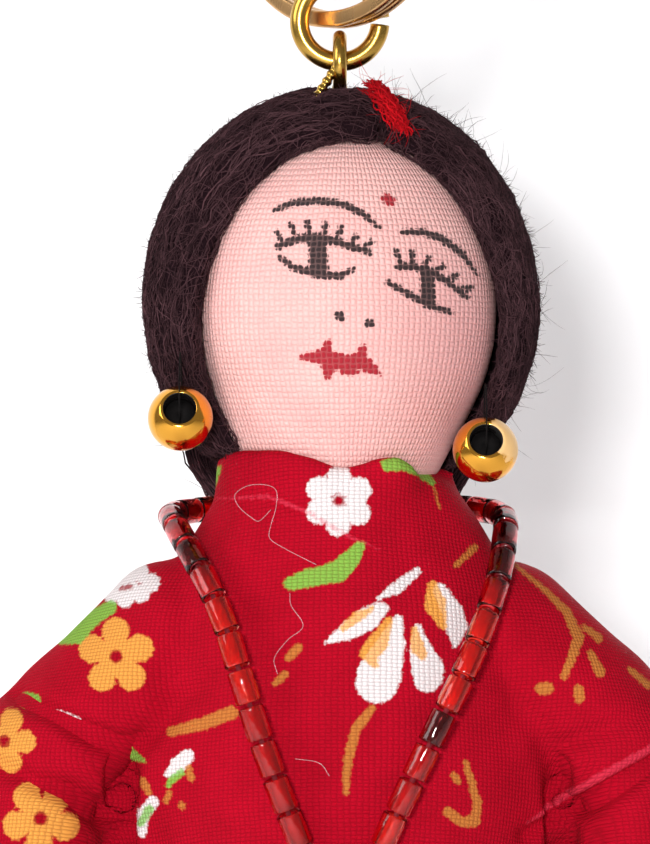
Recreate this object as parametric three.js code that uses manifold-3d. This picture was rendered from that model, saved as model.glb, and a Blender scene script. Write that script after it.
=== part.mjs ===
// A Rajasthani cloth doll made as a key-ring charm. Millimetres, +Z up, the face looks along -Y.
// Heights are measured up from the neckline of the blouse. At the end the whole doll is lowered by
// HOLD_HEIGHT, so that the origin is the inside top of the key ring, where a hook or finger holds it.
// Left is -X and right is +X, as someone who looks at the face sees them.
import * as THREE from 'three';
import { ConvexGeometry } from 'three/addons/geometries/ConvexGeometry.js';
import { mergeVertices } from 'three/addons/utils/BufferGeometryUtils.js';
import Module from 'manifold-3d';

const wasm = await Module();
wasm.setup();

const GAP = 0.3; // clearance between pieces that touch on the real doll
const CLOTH = 0.6; // a cover's thickness with its turned-in seam allowance
const SIDES = [
  { name: 'left', sign: -1 },
  { name: 'right', sign: 1 },
];

// Key ring, jump ring and screw eye, which hang through each other
const KEY_RING = {
  outerRadius: 12.5,
  wireWidth: 1.3,
  turnThickness: 0.8,
  turnPitch: 1.2,
  endAngle: THREE.MathUtils.degToRad(14),
  yaw: THREE.MathUtils.degToRad(45),
  bottom: 33.7,
};
const JUMP_RING = { radius: 3.15, wire: 0.75, centre: 34.2, gapAngle: THREE.MathUtils.degToRad(5) };
const EYE = { radius: 1.9, wire: 0.55, centre: 31.05, shankBottom: 15, shankRadius: 0.6 };
const EYE_TAIL = { top: [-0.2, -1.75, 30.6], bottom: [-2.7, -1.6, 26.8], radius: 0.4 };
const HOLD_HEIGHT = KEY_RING.bottom + 2 * KEY_RING.outerRadius - KEY_RING.wireWidth;

// Head, from the crown down into the neckline; a station is a padded ball that the cloth is drawn over
const HEAD = { at: [0.5, -0.5, 11.6], radii: [11.8, 10.2, 14] };
const NECK = { at: [-0.4, 0, -1], radii: [8, 6.2, 3] };
const NECK_ROOM = 1.3;

// Hair: two wool lobes parted off centre over a cap, and the fall of hair behind the neck
const HAIR_CAP = { at: [0, 0.6, 12.6], radii: [15.2, 13.6, 16.4] };
const FACE_OPENING = { at: [0.8, 10.9], radii: [11.4, 13.9], back: -2.5, depth: 30 };
const PARTING = { x: 3.2, width: 0.4 };
const SHOULDER_ROOM = 1.2;
const HALF_SPACE = 60; // side of a box that holds one side of the head whole
const HAIR_FALL = [
  { at: [-0.6, 10.9, 2], radii: [12.3, 4.6, 8] },
  { at: [-0.5, 12.8, -6], radii: [7, 3.4, 4] },
  { at: [-0.5, 13.6, -12], radii: [2.2, 2, 1] },
  { at: [-0.5, 13.8, -19], radii: [2.8, 2.2, 3.6] },
];
const HAIR_TIE = { at: [-0.5, 13.6, -12], radius: 3.35, thread: 0.4 };
const PARTING_THREAD = {
  route: [[2.1, -1.2, 29.2], [3.1, -3.6, 28.4], [4.1, -6, 26.9], [4.9, -7.7, 25.2]],
  radius: 0.55,
};

// Earrings: a gold bead on a thread loop that goes through its hole and over its top
const EARRINGS = { left: [-12.2, -8, 3.2], right: [11.1, -8, 0.8] };
const EARRING = { bead: 2.5, hole: 1.35, loop: 2.8, loopRise: 2.2, thread: 0.22, profileSteps: 8 };

// Body and arms; the left arm's stations are written, and the right arm mirrors them
const TORSO = [
  { at: [0, 0, -4], radii: [9.6, 6.8, 4.3] },
  { at: [0, 0, -12], radii: [14.5, 9, 7] },
  { at: [0, -0.4, -21], radii: [15.2, 9.4, 8] },
  { at: [0, 0, -36], radii: [12, 8, 8] },
];
const ARM = [
  { at: [-13, 0, -13.6], radii: [5.8, 5.8, 5.8] },
  { at: [-23.8, -1, -24.2], radii: [6, 6, 6] },
  { at: [-24.2, -3, -33], radii: [5.4, 5.4, 5.4] },
  { at: [-23, -5, -40.5], radii: [4, 3.8, 3] },
];
const ARM_TURNS = [-5, 0, 15, 30, 45].map(THREE.MathUtils.degToRad);
const CUFF = { width: 20, depth: 10, overlap: 1 }; // the box that cuts a sleeve's end off square
const HAND = [
  { at: [-22.6, -5.7, -45.6], radii: [2.9, 2, 2.6] },
  { at: [-22.2, -6.4, -49], radii: [2.6, 1.4, 2.4] },
];

// Skirt, hung from the round end of the body so that it can swing
const SKIRT = { top: -38.4, waist: 12.9, hem: 24, bottom: -84, depthShare: 0.7, belly: 20 };
const WAISTBAND = { top: -37.2, bottom: -38.1, outer: 13.4 };
const HEM_LACE = { height: 3.2, thickness: 0.6 };

// Necklace: glass tube beads on a thread, from the V at the front, over the shoulders to the nape
const BEAD = { radius: 1, hole: 0.5, length: 2.55, pitch: 2.86, eachSide: 16, fromBottom: 3.1, sides: 8 };
const STRING = { radius: 0.2, knot: 0.6 };
const NECKLACE_BOTTOM = [0, -9.9, -35.8];
const NECKLACE_RIGHT = [
  [1.2, -10, -34.4], [2.2, -10.2, -32], [3.4, -10.6, -28.8], [5.2, -11, -24.8], [7.2, -10.9, -20.6],
  [9.3, -10.2, -16.4], [11, -8.6, -12.4], [12.2, -6.2, -8.8], [12.8, -2.8, -5.7], [12.8, 0.6, -4.6],
  [11.7, 3.7, -4.1], [9.4, 6.2, -3.9], [6.3, 7.5, -3.9], [3.2, 7.8, -4],
];
const NECKLACE_LEFT = [
  [-1.2, -10, -34.4], [-2.1, -10.2, -32], [-3.2, -10.7, -28.6], [-4.6, -11.2, -25], [-6.1, -11.3, -20.8],
  [-7.5, -11.2, -16.4], [-8.7, -10.3, -12.6], [-10, -9, -9.6], [-11.5, -6.6, -7], [-12.8, -3, -4.9],
  [-13, 0.6, -4.3], [-11.7, 3.7, -4.1], [-9.4, 6.2, -3.9], [-6.3, 7.5, -3.9], [-3.2, 7.8, -4],
];
const NAPE = [0.4, 7.8, -4.2];

const materials = {
  brass: material(0xb98a1e, 0.28, 1),
  keyRingBrass: material(0xc79a5e, 0.3, 1),
  gold: material(0xd9972b, 0.22, 1),
  face: material(0xf6d3cb, 0.9),
  hair: material(0x2f1d20, 0.95),
  redThread: material(0xc01024, 0.9),
  darkThread: material(0x17100f, 0.9),
  stuffing: material(0xe9e2d2, 1),
  crimson: material(0xb40a2c, 0.88),
  lace: material(0xc79a3a, 0.45, 0.6),
  glass: material(0xb3121c, 0.08),
  string: material(0x8c1a20, 0.7),
};

const doll = new THREE.Group();

function material(color, roughness, metalness = 0) {
  return new THREE.MeshStandardMaterial({ color, roughness, metalness });
}

function solidFrom(geometry) {
  const bare = geometry.clone();
  bare.deleteAttribute('normal');
  bare.deleteAttribute('uv');
  const merged = mergeVertices(bare, 1e-4);
  return new wasm.Manifold(new wasm.Mesh({
    numProp: 3,
    vertProperties: new Float32Array(merged.attributes.position.array),
    triVerts: new Uint32Array(merged.index.array),
  }));
}

function geometryFrom(solid) {
  const { vertProperties, triVerts } = solid.getMesh();
  const geometry = new THREE.BufferGeometry();
  geometry.setAttribute('position', new THREE.BufferAttribute(vertProperties, 3));
  geometry.setIndex(new THREE.BufferAttribute(triVerts, 1));
  geometry.computeVertexNormals();
  return geometry;
}

function add(name, geometry, finish) {
  const mesh = new THREE.Mesh(geometry, finish);
  mesh.name = name;
  doll.add(mesh);
  return mesh;
}

function addSolid(name, solid, finish) {
  return add(name, geometryFrom(solid), finish);
}

function ball({ at, radii }, around = 24, down = 16) {
  return new THREE.SphereGeometry(1, around, down).scale(...radii).translate(...at);
}

function grown(stations, margin) {
  return stations.map(({ at, radii }) => ({ at, radii: radii.map((radius) => radius + margin) }));
}

function mirrored(stations, sign) {
  return stations.map(({ at: [x, y, z], radii }) => ({ at: [-sign * x, y, z], radii }));
}

function pointsOf(geometry) {
  const { position } = geometry.attributes;
  return Array.from(
    { length: position.count },
    (_, i) => new THREE.Vector3().fromBufferAttribute(position, i),
  );
}

// One smooth solid over a row of balls: each two neighbours in one hull, and the hulls joined
function drawnOver(stations, around = 16, down = 10) {
  const points = stations.map((station) => pointsOf(ball(station, around, down)));
  const spans = points.slice(1).map((next, i) => solidFrom(new ConvexGeometry([...points[i], ...next])));
  return spans.reduce((whole, span) => whole.add(span));
}

function tube(curve, radius, steps, sides = 8) {
  const section = new THREE.Shape().absarc(0, 0, radius, 0, 2 * Math.PI);
  return new THREE.ExtrudeGeometry(section, {
    extrudePath: curve,
    steps,
    curveSegments: sides / 2,
    bevelEnabled: false,
  });
}

function through(points) {
  return new THREE.CatmullRomCurve3(points.map((point) => new THREE.Vector3(...point)));
}

function rod(from, to, radius, sides = 12) {
  const ends = [new THREE.Vector3(...from), new THREE.Vector3(...to)];
  const geometry = new THREE.CylinderGeometry(radius, radius, ends[0].distanceTo(ends[1]), sides);
  const direction = ends[1].clone().sub(ends[0]).normalize();
  geometry.applyQuaternion(new THREE.Quaternion().setFromUnitVectors(new THREE.Vector3(0, 1, 0), direction));
  return geometry.translate(...ends[0].add(ends[1]).multiplyScalar(0.5));
}

// A split ring: flat wire wound into nearly two turns, side by side
class SplitRingPath extends THREE.Curve {
  getPoint(t) {
    const { outerRadius, wireWidth, turnPitch, endAngle } = KEY_RING;
    const radius = outerRadius - wireWidth / 2;
    const angle = endAngle + t * (4 * Math.PI - 2 * endAngle);
    const across = (angle / (2 * Math.PI) - 1) * turnPitch;
    return new THREE.Vector3(radius * Math.sin(angle), across, radius * Math.cos(angle));
  }
}

function keyRing() {
  const { wireWidth, turnThickness, outerRadius, yaw, bottom } = KEY_RING;
  const section = new THREE.Shape()
    .moveTo(-turnThickness / 2, -wireWidth / 2)
    .lineTo(turnThickness / 2, -wireWidth / 2)
    .lineTo(turnThickness / 2, wireWidth / 2)
    .lineTo(-turnThickness / 2, wireWidth / 2);
  const geometry = new THREE.ExtrudeGeometry(section, {
    extrudePath: new SplitRingPath(),
    steps: 72,
    bevelEnabled: false,
  });
  const ring = add('key_ring', geometry, materials.keyRingBrass);
  ring.position.z = bottom + outerRadius;
  ring.rotation.z = -yaw;
}

function jumpRing() {
  const { radius, wire, centre, gapAngle } = JUMP_RING;
  const arc = new THREE.EllipseCurve(0, 0, radius, radius, gapAngle, 2 * Math.PI - gapAngle);
  const path = through(arc.getPoints(32).map(({ x, y }) => [x, 0, y]));
  const ring = add('jump_ring', tube(path, wire, 24), materials.brass);
  ring.position.z = centre;
}

function eyeParts() {
  const { radius, wire, centre, shankBottom, shankRadius } = EYE;
  const loop = new THREE.TorusGeometry(radius, wire, 10, 24).rotateY(Math.PI / 2).translate(0, 0, centre);
  const shank = rod([0, 0, centre - radius], [0, 0, shankBottom], shankRadius);
  const tail = rod(EYE_TAIL.top, EYE_TAIL.bottom, EYE_TAIL.radius);
  return { loop, shank, tail };
}

// Room for the eye's shank and tail through the hair and the head
function eyeRoom() {
  const { centre, radius, wire, shankBottom, shankRadius } = EYE;
  const hole = solidFrom(rod([0, 0, centre], [0, 0, shankBottom - GAP], shankRadius + GAP));
  const loopRoom = solidFrom(ball({
    at: [0, 0, centre],
    radii: [wire + 2 * GAP, radius + wire + 2 * GAP, radius + wire + 2 * GAP],
  }));
  const low = new THREE.Vector3(...EYE_TAIL.bottom);
  const past = low.clone().sub(new THREE.Vector3(...EYE_TAIL.top)).setLength(GAP).add(low);
  const tailRoom = solidFrom(rod(EYE_TAIL.top, past.toArray(), EYE_TAIL.radius + GAP));
  return hole.add(loopRoom).add(tailRoom);
}

function screwEye() {
  const { loop, shank, tail } = eyeParts();
  const joined = solidFrom(loop).add(solidFrom(shank)).add(solidFrom(tail));
  addSolid('screw_eye', joined, materials.brass);
}

function head() {
  const stations = [HEAD, NECK];
  const room = eyeRoom();
  const cover = drawnOver(stations, 20, 14).subtract(drawnOver(grown(stations, -CLOTH), 20, 14));
  addSolid('face_cloth', cover.subtract(room), materials.face);
  const stuffing = drawnOver(grown(stations, -CLOTH - GAP));
  addSolid('head_stuffing', stuffing.subtract(room), materials.stuffing);
}

function faceOpening() {
  const { at: [x, z], radii: [width, height], back, depth } = FACE_OPENING;
  return solidFrom(new THREE.CylinderGeometry(1, 1, depth, 28)
    .scale(width, 1, height)
    .translate(x, back - depth / 2, z));
}

function hair() {
  const insideHead = drawnOver(grown([HEAD, NECK], 2 * GAP), 20, 14);
  const threadRoom = solidFrom(tube(through(PARTING_THREAD.route), PARTING_THREAD.radius + GAP, 12));
  const cap = solidFrom(ball(HAIR_CAP, 24, 18))
    .subtract(insideHead)
    .subtract(faceOpening())
    .subtract(eyeRoom())
    .subtract(threadRoom)
    .subtract(earringRoom())
    .subtract(drawnOver(grown(TORSO.slice(0, 2), SHOULDER_ROOM)));
  for (const { name, sign } of SIDES) {
    const half = new THREE.BoxGeometry(HALF_SPACE, HALF_SPACE, HALF_SPACE)
      .translate(PARTING.x + sign * (HALF_SPACE + PARTING.width) / 2, 0, 0);
    addSolid(`hair_${name}`, cap.intersect(solidFrom(half)), materials.hair);
  }
  add('parting_thread', tube(through(PARTING_THREAD.route), PARTING_THREAD.radius, 12), materials.redThread);
  const tie = new THREE.TorusGeometry(HAIR_TIE.radius, HAIR_TIE.thread, 6, 16);
  add('hair_tie', tie, materials.redThread).position.set(...HAIR_TIE.at);
  const [capRoom] = grown([HAIR_CAP], GAP);
  const fall = drawnOver(HAIR_FALL)
    .subtract(solidFrom(ball(capRoom, 24, 18)))
    .subtract(insideHead)
    .subtract(stringSolid(2 * GAP));
  addSolid('hair_back', fall, materials.hair);
}

// Room for both earrings to swing in front of the wool
function earringRoom() {
  const { bead, loop, loopRise, thread } = EARRING;
  const reach = loop + thread + 2 * GAP;
  return SIDES
    .map(({ name }) => EARRINGS[name])
    .map(([x, y, z]) => drawnOver([
      { at: [x, y, z], radii: Array(3).fill(bead + 2 * GAP) },
      { at: [x, y, z + loopRise], radii: [2 * GAP + thread, reach, reach] },
    ], 16, 10))
    .reduce((both, room) => both.add(room));
}

function earrings() {
  const { bead, hole, loop, loopRise, thread, profileSteps } = EARRING;
  const mouth = Math.sqrt(bead ** 2 - hole ** 2);
  const outline = [];
  for (let i = 0; i <= profileSteps; i += 1) {
    const height = mouth * ((2 * i) / profileSteps - 1);
    outline.push(new THREE.Vector2(Math.sqrt(bead ** 2 - height ** 2), height));
  }
  outline.push(outline[0].clone());
  for (const { name } of SIDES) {
    const at = EARRINGS[name];
    add(`earring_bead_${name}`, new THREE.LatheGeometry(outline, 14), materials.gold).position.set(...at);
    const ring = new THREE.TorusGeometry(loop, thread, 6, 16).rotateY(Math.PI / 2).translate(0, 0, loopRise);
    add(`earring_thread_${name}`, ring, materials.darkThread).position.set(...at);
  }
}

// The space that an upper arm sweeps as it turns about its shoulder, in one hull
function armRoom(sign) {
  const [shoulder, elbow] = grown(mirrored(ARM, sign), 1.5 * GAP);
  const pivot = new THREE.Vector3(...shoulder.at);
  const sweep = ARM_TURNS.map((angle) => {
    const centre = new THREE.Vector3(...elbow.at).sub(pivot);
    centre.applyAxisAngle(new THREE.Vector3(0, 1, 0), -sign * angle).add(pivot);
    return ball({ at: centre.toArray(), radii: elbow.radii }, 16, 10);
  });
  return solidFrom(new ConvexGeometry([ball(shoulder, 20, 12), ...sweep].flatMap(pointsOf)));
}

function body() {
  const neckRoom = drawnOver(grown([HEAD, NECK], NECK_ROOM));
  const room = neckRoom.add(armRoom(-1)).add(armRoom(1));
  const cover = drawnOver(TORSO).subtract(drawnOver(grown(TORSO, -CLOTH)));
  addSolid('blouse', cover.subtract(room), materials.crimson);
  addSolid('torso_stuffing', drawnOver(grown(TORSO, -CLOTH - GAP)).subtract(room), materials.stuffing);
}

function arms() {
  for (const { name, sign } of SIDES) {
    const stations = mirrored(ARM, sign);
    const handStations = mirrored(HAND, sign);
    const wrist = stations[stations.length - 1];
    const cutHeight = wrist.at[2] - wrist.radii[2] + CUFF.overlap;
    const cuff = solidFrom(new THREE.BoxGeometry(CUFF.width, CUFF.width, CUFF.depth)
      .translate(wrist.at[0], wrist.at[1], cutHeight - CUFF.depth / 2));
    const sleeve = drawnOver(stations)
      .subtract(drawnOver(grown(stations, -CLOTH)))
      .subtract(cuff);
    addSolid(`sleeve_${name}`, sleeve, materials.crimson);
    const stuffing = drawnOver(grown(stations, -CLOTH - GAP)).subtract(cuff);
    addSolid(`arm_stuffing_${name}`, stuffing, materials.stuffing);
    addSolid(`hand_${name}`, drawnOver(handStations, 14, 10), materials.face);
  }
}

function skirt() {
  const { top, waist, hem, bottom, depthShare, belly } = SKIRT;
  const wall = [[hem, bottom], [belly, (top + bottom) / 2], [waist, top]];
  const outline = [
    ...wall.map(([radius, z]) => new THREE.Vector2(radius, z)),
    ...wall.slice().reverse().map(([radius, z]) => new THREE.Vector2(radius - CLOTH, z)),
    new THREE.Vector2(hem, bottom),
  ];
  const shell = new THREE.LatheGeometry(outline, 32).rotateX(Math.PI / 2).scale(1, depthShare, 1);
  add('skirt', shell, materials.crimson);
}

function trims() {
  const { depthShare, waist, hem, bottom } = SKIRT;
  const band = (inner, outer, low, high) => new THREE.LatheGeometry([
    new THREE.Vector2(outer, low),
    new THREE.Vector2(outer, high),
    new THREE.Vector2(inner, high),
    new THREE.Vector2(inner, low),
    new THREE.Vector2(outer, low),
  ], 32).rotateX(Math.PI / 2).scale(1, depthShare, 1);
  const { top, bottom: bandBottom, outer } = WAISTBAND;
  add('waistband', band(waist - CLOTH, outer, bandBottom, top), materials.crimson);
  const laceInner = hem + GAP;
  const laceOuter = laceInner + HEM_LACE.thickness;
  add('hem_lace', band(laceInner, laceOuter, bottom, bottom + HEM_LACE.height), materials.lace);
}

function leftPoints() {
  const [x, y, z] = NAPE;
  return [[-x, y, z], ...[...NECKLACE_LEFT].reverse(), NECKLACE_BOTTOM];
}

function necklaceRoute() {
  return through([...leftPoints(), ...NECKLACE_RIGHT, NAPE]);
}

// The thread and the knot that joins its ends at the nape, or the room that they need
function stringSolid(margin = 0) {
  const knot = ball({ at: [0, NAPE[1], NAPE[2]], radii: Array(3).fill(STRING.knot + margin) }, 10, 6);
  return solidFrom(tube(necklaceRoute(), STRING.radius + margin, 56, 6)).add(solidFrom(knot));
}

function necklace() {
  const route = necklaceRoute();
  const length = route.getLength();
  const leftLength = through(leftPoints()).getLength();
  addSolid('necklace_string', stringSolid(), materials.string);
  const { radius, hole, eachSide, fromBottom, pitch, sides } = BEAD;
  const outline = [
    new THREE.Vector2(radius, -BEAD.length / 2),
    new THREE.Vector2(radius, BEAD.length / 2),
    new THREE.Vector2(hole, BEAD.length / 2),
    new THREE.Vector2(hole, -BEAD.length / 2),
    new THREE.Vector2(radius, -BEAD.length / 2),
  ];
  const up = new THREE.Vector3(0, 1, 0);
  for (const { name, sign } of SIDES) {
    for (let i = 0; i < eachSide; i += 1) {
      const along = (leftLength + sign * (fromBottom + i * pitch)) / length;
      const shape = new THREE.LatheGeometry(outline, sides);
      const bead = add(`necklace_bead_${name}_${i + 1}`, shape, materials.glass);
      bead.position.copy(route.getPointAt(along));
      bead.quaternion.setFromUnitVectors(up, route.getTangentAt(along));
    }
  }
}

keyRing();
jumpRing();
screwEye();
head();
hair();
earrings();
body();
arms();
skirt();
trims();
necklace();
doll.position.z = -HOLD_HEIGHT;

const part = new THREE.Group();
part.add(doll);

export default part;
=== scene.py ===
# A Rajasthani cloth doll key-ring charm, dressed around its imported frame.
# Lengths are millimetres in the doll's own frame, unless a name says otherwise: z is 0 at the blouse's
# neckline, +Z is up, the face looks along -Y and left is -X. metres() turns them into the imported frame.
import math
import random
from collections import namedtuple

import bmesh
import bpy
import numpy as np
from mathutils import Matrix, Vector, noise
from mathutils.bvhtree import BVHTree


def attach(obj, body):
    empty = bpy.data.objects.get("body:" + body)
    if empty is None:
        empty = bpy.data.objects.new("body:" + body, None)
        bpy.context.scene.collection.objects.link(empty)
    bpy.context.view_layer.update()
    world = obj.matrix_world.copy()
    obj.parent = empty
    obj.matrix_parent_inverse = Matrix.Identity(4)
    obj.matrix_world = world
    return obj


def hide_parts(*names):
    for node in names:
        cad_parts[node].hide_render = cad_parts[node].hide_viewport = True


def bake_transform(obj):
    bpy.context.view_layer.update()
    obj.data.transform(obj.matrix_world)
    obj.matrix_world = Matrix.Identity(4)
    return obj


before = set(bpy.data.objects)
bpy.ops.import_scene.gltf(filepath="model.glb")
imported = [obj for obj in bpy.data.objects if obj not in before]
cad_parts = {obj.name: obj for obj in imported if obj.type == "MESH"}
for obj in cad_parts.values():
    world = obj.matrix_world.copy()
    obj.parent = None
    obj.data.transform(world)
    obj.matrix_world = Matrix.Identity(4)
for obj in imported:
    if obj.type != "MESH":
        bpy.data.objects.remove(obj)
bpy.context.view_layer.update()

MM = 0.001
NECKLINE = -57.4  # the neckline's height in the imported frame
OUTSIDE = 30  # farther out than any of the doll's cloth, where rays towards it start
SIDES = [("left", -1), ("right", 1)]

# Camera: it covers the head and the chest
VIEW_CENTRE = (-1.15, -5, 2.92)
VIEW_HEIGHT = 65
LENS = 200
SENSOR = 36

# Light and stage, in metres and watts: each lamp's place, size and power
WORLD_LIGHT = 0.28
LAMPS = {
    "key": ((-0.045, -0.43, -0.02), 0.045, 1.55),
    "side": ((-0.3, -0.16, 0.1), 0.2, 0.55),
    "back": ((0.12, 0.4, 0.1), 0.3, 1.2),
}
FLOOR = -0.16
BACKDROP = 0.085
STAGE_HALF_WIDTH = 0.6

# Stuffed forms: a station is the centre and the radii of a padded ball that the cloth is drawn over
HEAD = ((0.5, -0.5, 11.6), (11.8, 10.2, 14))
NECK = ((-0.4, 0, -1), (8, 6.2, 3))
TORSO = [
    ((0, 0, -3.2), (9.4, 7, 4)),
    ((0, 0, -12), (14.5, 9, 7)),
    ((0, -0.4, -25.5), (16.8, 9.4, 9)),
    ((0, 0, -36), (12.2, 8, 8)),
]
FLANK = [
    ((13.5, 0, -22), (3, 6, 5)),
    ((16, 1, -28.5), (2.3, 4.6, 4)),
    ((11.6, 0.5, -36), (1.6, 5, 1.6)),
]
COLLAR = [  # the collar's top edge at the front, as rows of (x, z)
    (-9, 0.3), (-7.7, 0.8), (-5.3, 0.8), (-3.8, 0.45), (-0.8, -0.3), (0.6, -0.7),
    (2.4, -0.3), (3.8, 0.15), (5.4, 0.1), (6.4, -0.2), (7.3, -1.2), (9, -1.6),
]
COLLAR_BOTTOM = -4.2
COLLAR_BACK = -0.6
COLLAR_BAND = {"inside": -0.6, "bottom": 1.5, "top": 1.15}  # how far out it lies from the face's cloth
ARM = [
    ((13, 0, -13.6), (5.8, 5.8, 5.8)),
    ((23.8, -1, -24.2), (6, 6, 6)),
    ((24.2, -3, -33), (5.4, 5.4, 5.4)),
    ((23, -5, -40.5), (4, 3.8, 3)),
]
HAND = [
    ((22.6, -5.7, -45.6), (2.9, 2, 2.6)),
    ((22.2, -6.4, -49), (2.6, 1.4, 2.4)),
]
FINGER_GAPS = (21, 22.3, 23.6)  # how far from the middle the creases between the fingers start
ARMHOLE = 13.8  # how far from the middle the sleeve starts to follow the arm
ARMPIT = 3.2  # how much farther out the sleeve is cut below the armpit
CHEST_PRINT_BOTTOM = -31

# Rings and eye
KEY_RING = {"outer": 12.5, "width": 1.3, "thickness": 0.8, "pitch": 1.2, "bottom": 33.7}
KEY_END = math.radians(14)
KEY_YAW = math.radians(45)
JUMP_RING = {"radius": 3.15, "wire": 0.75, "centre": 34.2, "gap": math.radians(5)}
EYE = {"radius": 1.9, "wire": 0.55, "centre": 31.05, "shank_bottom": 15, "shank": 0.6}
EYE_TAIL = [(-0.2, -1.75, 30.6), (-2.7, -1.6, 26.8)]

# Hair
FACE_OPENING = {"x": 0.8, "z": 10.9, "wide": 11.4, "high": 13.9}
PARTING_THREAD = [(2.1, -1.2, 29.2), (3.1, -3.6, 28.4), (4.1, -6, 26.9), (4.9, -7.7, 25.2)]
LOBE_CENTRE = (0, 0.6, 12.6)
STRAND_SIDES = 3
STRAND_STEP = 0.7
HAIR_TIE = {"at": (-0.5, 13.6, -12), "radius": 3.35, "thread": 0.4, "turns": 3}

# Earrings and necklace
EARRINGS = {"left": (-12.2, -8, 3.2), "right": (11.1, -8, 0.8)}
EARRING = {"bead": 2.5, "hole": 1.35, "loop": 2.8, "rise": 2.2, "thread": 0.05, "lean": 22}
WORN_PATCH = {"left": ((-0.6, 0.6, 0.3), 0.95), "right": ((0.8, -0.45, 0.4), 0.72)}  # its side and limit
BEAD = {"radius": 1, "lining": 0.56, "hole": 0.4, "off_middle": 0.2, "length": 2.55, "rim": 0.14}
BEADS_EACH_SIDE = 16
BEAD_COLOURS = {  # the glass, its lining and the lining's dark
    "red": ((0.92, 0.16, 0.17), (0.75, 0.008, 0.012), (0.35, 0.0, 0.005)),
    "dark": ((0.55, 0.07, 0.08), (0.22, 0.004, 0.008), (0.07, 0.0, 0.003)),
    "warm": ((0.98, 0.25, 0.18), (0.90, 0.04, 0.02), (0.55, 0.004, 0.006)),
}
BEAD_SHARES = (5, 2, 3)

# Loose clear thread on the chest: rows of (x, z)
LOOSE_THREADS = [
    [(-1.8, -8), (-2.8, -7.5), (-4.35, -6.7), (-5.35, -6), (-5.25, -5), (-4.85, -3.6), (-4.85, -2.3),
     (-5.75, -1.87), (-7.1, -2), (-8, -2.7), (-7.7, -3.6), (-6.8, -4.4), (-6.15, -4.7), (-5.25, -3.8)],
    [(-3.8, -10.15), (-3.7, -11.1), (-2.8, -12.6), (-4, -13.7), (-5, -15.1), (-4.75, -16.3)],
    [(-3.4, -22.7), (-1.6, -23), (-0.8, -24)],
]

# Skirt
SKIRT = {"top": -38.4, "waist": 12.9, "belly": 20, "hem": 24, "bottom": -84, "depth": 0.7, "cloth": 0.35,
         "spread": 21}
WAIST_CORD = {"height": -37.65, "radius": 12.75, "twist": 0.28, "strand": 0.3}

# Painted face: brush strokes as rows of (x, z, half width)
BROWS = [
    [(-5, 19.1, 0.2), (-3.6, 19.65, 0.3), (-1.8, 19.8, 0.3), (0.3, 19.5, 0.3), (1.7, 18.8, 0.28),
     (3, 17.7, 0.16)],
    [(4.8, 17.4, 0.24), (6.4, 17.4, 0.3), (7.9, 16.9, 0.32), (9.4, 15.8, 0.28), (10.6, 14.2, 0.12)],
]
UPPER_LIDS = [
    [(-4.7, 16.3, 0.3), (-3.2, 16.85, 0.36), (-1.8, 16.95, 0.4), (-0.5, 16.7, 0.36), (1, 16.2, 0.32),
     (2.2, 15.8, 0.24)],
    [(4.4, 14.7, 0.3), (5.6, 14.75, 0.32), (6.8, 14.4, 0.34), (8.1, 13.7, 0.3), (9.7, 12.5, 0.24)],
]
LASH_TIPS = [
    [(-4.8, 17.35), (-3.75, 17.95), (-2.5, 18.2), (-1.1, 17.95), (0.1, 17.65), (1.2, 17), (2.35, 16.6)],
    [(4.3, 15.9), (5.5, 15.8), (6.75, 15.4), (7.9, 14.85), (8.9, 14.1), (10, 13.2)],
]
PUPILS = [
    [(-1.7, 16.6, 0.72), (-1.65, 14.6, 0.78)],
    [(6.6, 14.3, 0.52), (6.7, 12.3, 0.62)],
]
LOWER_LIDS = [
    [(-4.6, 15.45, 0.2), (-3.6, 14.7, 0.28), (-1.8, 14.1, 0.3), (-0.1, 14, 0.3), (1, 14.5, 0.18)],
    [(3.6, 13.5, 0.24), (5.3, 12.6, 0.28), (7, 11.7, 0.3), (8.5, 11.3, 0.2)],
]
NOSTRILS = [[(-0.1, 11.05, 0.36), (0.1, 10.8, 0.32)], [(2.25, 10.4, 0.38)]]
WIDOWS_PEAK = [[(2.7, 25.6, 0.5), (3.4, 24.4, 0.1)], [(4.2, 25.4, 0.6), (3.5, 24.5, 0.1)]]
FOREHEAD_MARK = [[(3.55, 20, 0.42), (3.85, 19.8, 0.4)]]
LIPS = [
    [(-3, 7.8, 0.2), (-2.2, 7.9, 0.42), (-1.2, 7.8, 0.66), (-0.2, 7.5, 0.72), (0.6, 7.4, 0.6)],
    [(0.6, 7.4, 0.6), (1.5, 7.55, 0.72), (2.2, 7.1, 0.5), (2.95, 6.6, 0.2)],
    [(-1.05, 8.2, 0.55), (-0.9, 9, 0.25)],
    [(1.6, 8, 0.5), (1.75, 8.5, 0.3)],
    [(-0.9, 7, 0.6), (-0.9, 6.35, 0.25)],
    [(0.3, 6.9, 0.4), (1.1, 6.7, 0.3)],
]

# Weaves: the threads' pitch and how far they wander
FACE_WEAVE = {"pitch": 0.46, "wander": 0.3}
CRIMSON_WEAVE = {"pitch": 0.3, "wander": 0.2}

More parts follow.
